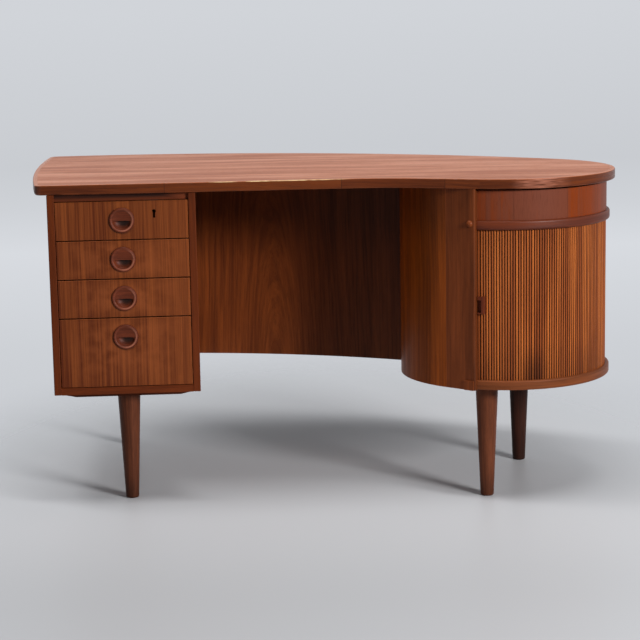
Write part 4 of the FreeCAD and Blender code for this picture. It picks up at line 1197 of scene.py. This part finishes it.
class DESK_OT_stage(DeskOperator):
    """Set the floor, the backdrop, the lamps and the camera."""

    bl_idname = "desk.stage"
    bl_label = "Studio"

    def execute(self, context):
        scene = context.scene
        look = scene.desk_stage
        scene.view_settings.view_transform = "Standard"
        self.make_floor(look)
        self.make_world(scene, look)
        for name, lamp in LAMPS.items():
            add_lamp(name, *lamp)
        camera = bpy.data.cameras.new("photograph camera")
        camera.lens = look.lens
        holder = bpy.data.objects.new("photograph camera", camera)
        tilt = Matrix.Rotation(math.pi / 2 - look.camera_pitch, 4, "X")
        holder.matrix_world = tilt @ Matrix.Rotation(-look.camera_roll, 4, "Z")
        holder.location = (0.0, -look.camera_distance, look.camera_height)
        scene.collection.objects.link(holder)
        scene.camera = holder
        return {"FINISHED"}

    def make_floor(self, look):
        """A flat ring grid: radius by turn, fading out into the backdrop at its rim."""
        radii = np.linspace(*FLOOR_RADII, FLOOR_RINGS)[:, None]
        turns = np.linspace(0, 2 * math.pi, FLOOR_SIDES, endpoint=False)
        flat = np.zeros_like(radii * turns)
        points = np.stack([radii * np.cos(turns), radii * np.sin(turns), flat], axis=-1).reshape(-1, 3)
        upward = np.broadcast_to((0.0, 0.0, 1.0), points.shape)
        middle = np.arange(FLOOR_SIDES)
        floor = new_piece("studio_floor", points, upward, grid_quads(*flat.shape), (middle,))
        finish = Finish("studio floor")
        x, y, _ = finish.parts(finish.place)
        # Painted shade: the floor gets darker toward the camera
        near = opaque(part * FLOOR_NEAR_SHADE_TONE for part in look.floor)
        shade = finish.mix(finish.step(y, *FLOOR_NEAR_SHADE), near, opaque(look.floor))
        reach = finish.length(finish.times(x, FLOOR_NARROWING), finish.plus(y, FLOOR_FORWARD))
        finish.feed(finish.shader.inputs["Alpha"], finish.step(reach, *FLOOR_FADE))
        floor.data.materials.append(finish.done(shade, FLOOR_ROUGHNESS))

    def make_world(self, scene, look):
        """Soft light, dim from the sitter's side, and the pale backdrop as seen and in reflections."""
        world = bpy.data.worlds.new("studio")
        world.use_nodes = True
        scene.world = world
        nodes = Nodes(world.node_tree)
        x, y, z = nodes.parts(nodes.add("ShaderNodeTexCoord").outputs["Generated"])
        away = nodes.minus(nodes.times(y, AMBIENT_AHEAD), nodes.times(x, AMBIENT_RIGHT))
        ambient = world.node_tree.nodes["Background"]
        ambient.inputs["Color"].default_value = AMBIENT_TINT
        nodes.feed(ambient.inputs["Strength"], nodes.plus(AMBIENT_LEAST, nodes.step(away, *AMBIENT_RISE)))
        band = nodes.add("ShaderNodeValToRGB", {0: nodes.plus(nodes.times(z, BAND_SPREAD), 1.0)})
        stops = band.color_ramp.elements
        for place, tone in BACKDROP_BAND:
            stops.new(place).color = opaque(part * tone for part in look.backdrop)
        stops.remove(stops[-1])
        stops.remove(stops[0])
        pale = nodes.add("ShaderNodeBackground", {"Color": band.outputs[0], "Strength": 1.0})
        ray = nodes.add("ShaderNodeLightPath").outputs
        seen = nodes.math("MAXIMUM", ray["Is Camera Ray"], ray["Is Glossy Ray"])
        seen = nodes.math("MAXIMUM", seen, ray["Is Transmission Ray"])
        mixed = nodes.add("ShaderNodeMixShader", {0: seen, 1: ambient.outputs[0], 2: pale.outputs[0]})
        nodes.feed(world.node_tree.nodes["World Output"].inputs["Surface"], mixed.outputs[0])


class DESK_PT_sidebar(bpy.types.Panel):
    """The desk's pieces, one button each."""

    bl_idname = "DESK_PT_sidebar"
    bl_label = "Desk"
    bl_space_type = "VIEW_3D"
    bl_region_type = "UI"
    bl_category = "Desk"

    def draw(self, context):
        for operator in OPERATORS:
            self.layout.operator(operator.bl_idname)


OPERATORS = (
    DESK_OT_top,
    DESK_OT_pedestal,
    DESK_OT_drawers,
    DESK_OT_kneehole,
    DESK_OT_cabinet,
    DESK_OT_tambour,
    DESK_OT_legs,
    DESK_OT_stage,
)
CLASSES = (DeskColours, DeskSizes, DeskStage, *OPERATORS, DESK_PT_sidebar)


def register():
    for cls in CLASSES:
        bpy.utils.register_class(cls)
    bpy.types.Scene.desk_colours = bpy.props.PointerProperty(type=DeskColours)
    bpy.types.Scene.desk_sizes = bpy.props.PointerProperty(type=DeskSizes)
    bpy.types.Scene.desk_stage = bpy.props.PointerProperty(type=DeskStage)


def unregister():
    del bpy.types.Scene.desk_stage
    del bpy.types.Scene.desk_sizes
    del bpy.types.Scene.desk_colours
    for cls in reversed(CLASSES):
        bpy.utils.unregister_class(cls)


def main():
    register()
    make_groups()
    bpy.ops.desk.top()
    bpy.ops.desk.pedestal()
    bpy.ops.desk.drawers()
    bpy.ops.desk.kneehole()
    bpy.ops.desk.cabinet()
    bpy.ops.desk.tambour()
    bpy.ops.desk.legs()
    bpy.ops.desk.stage()


if __name__ == "__main__":
    main()
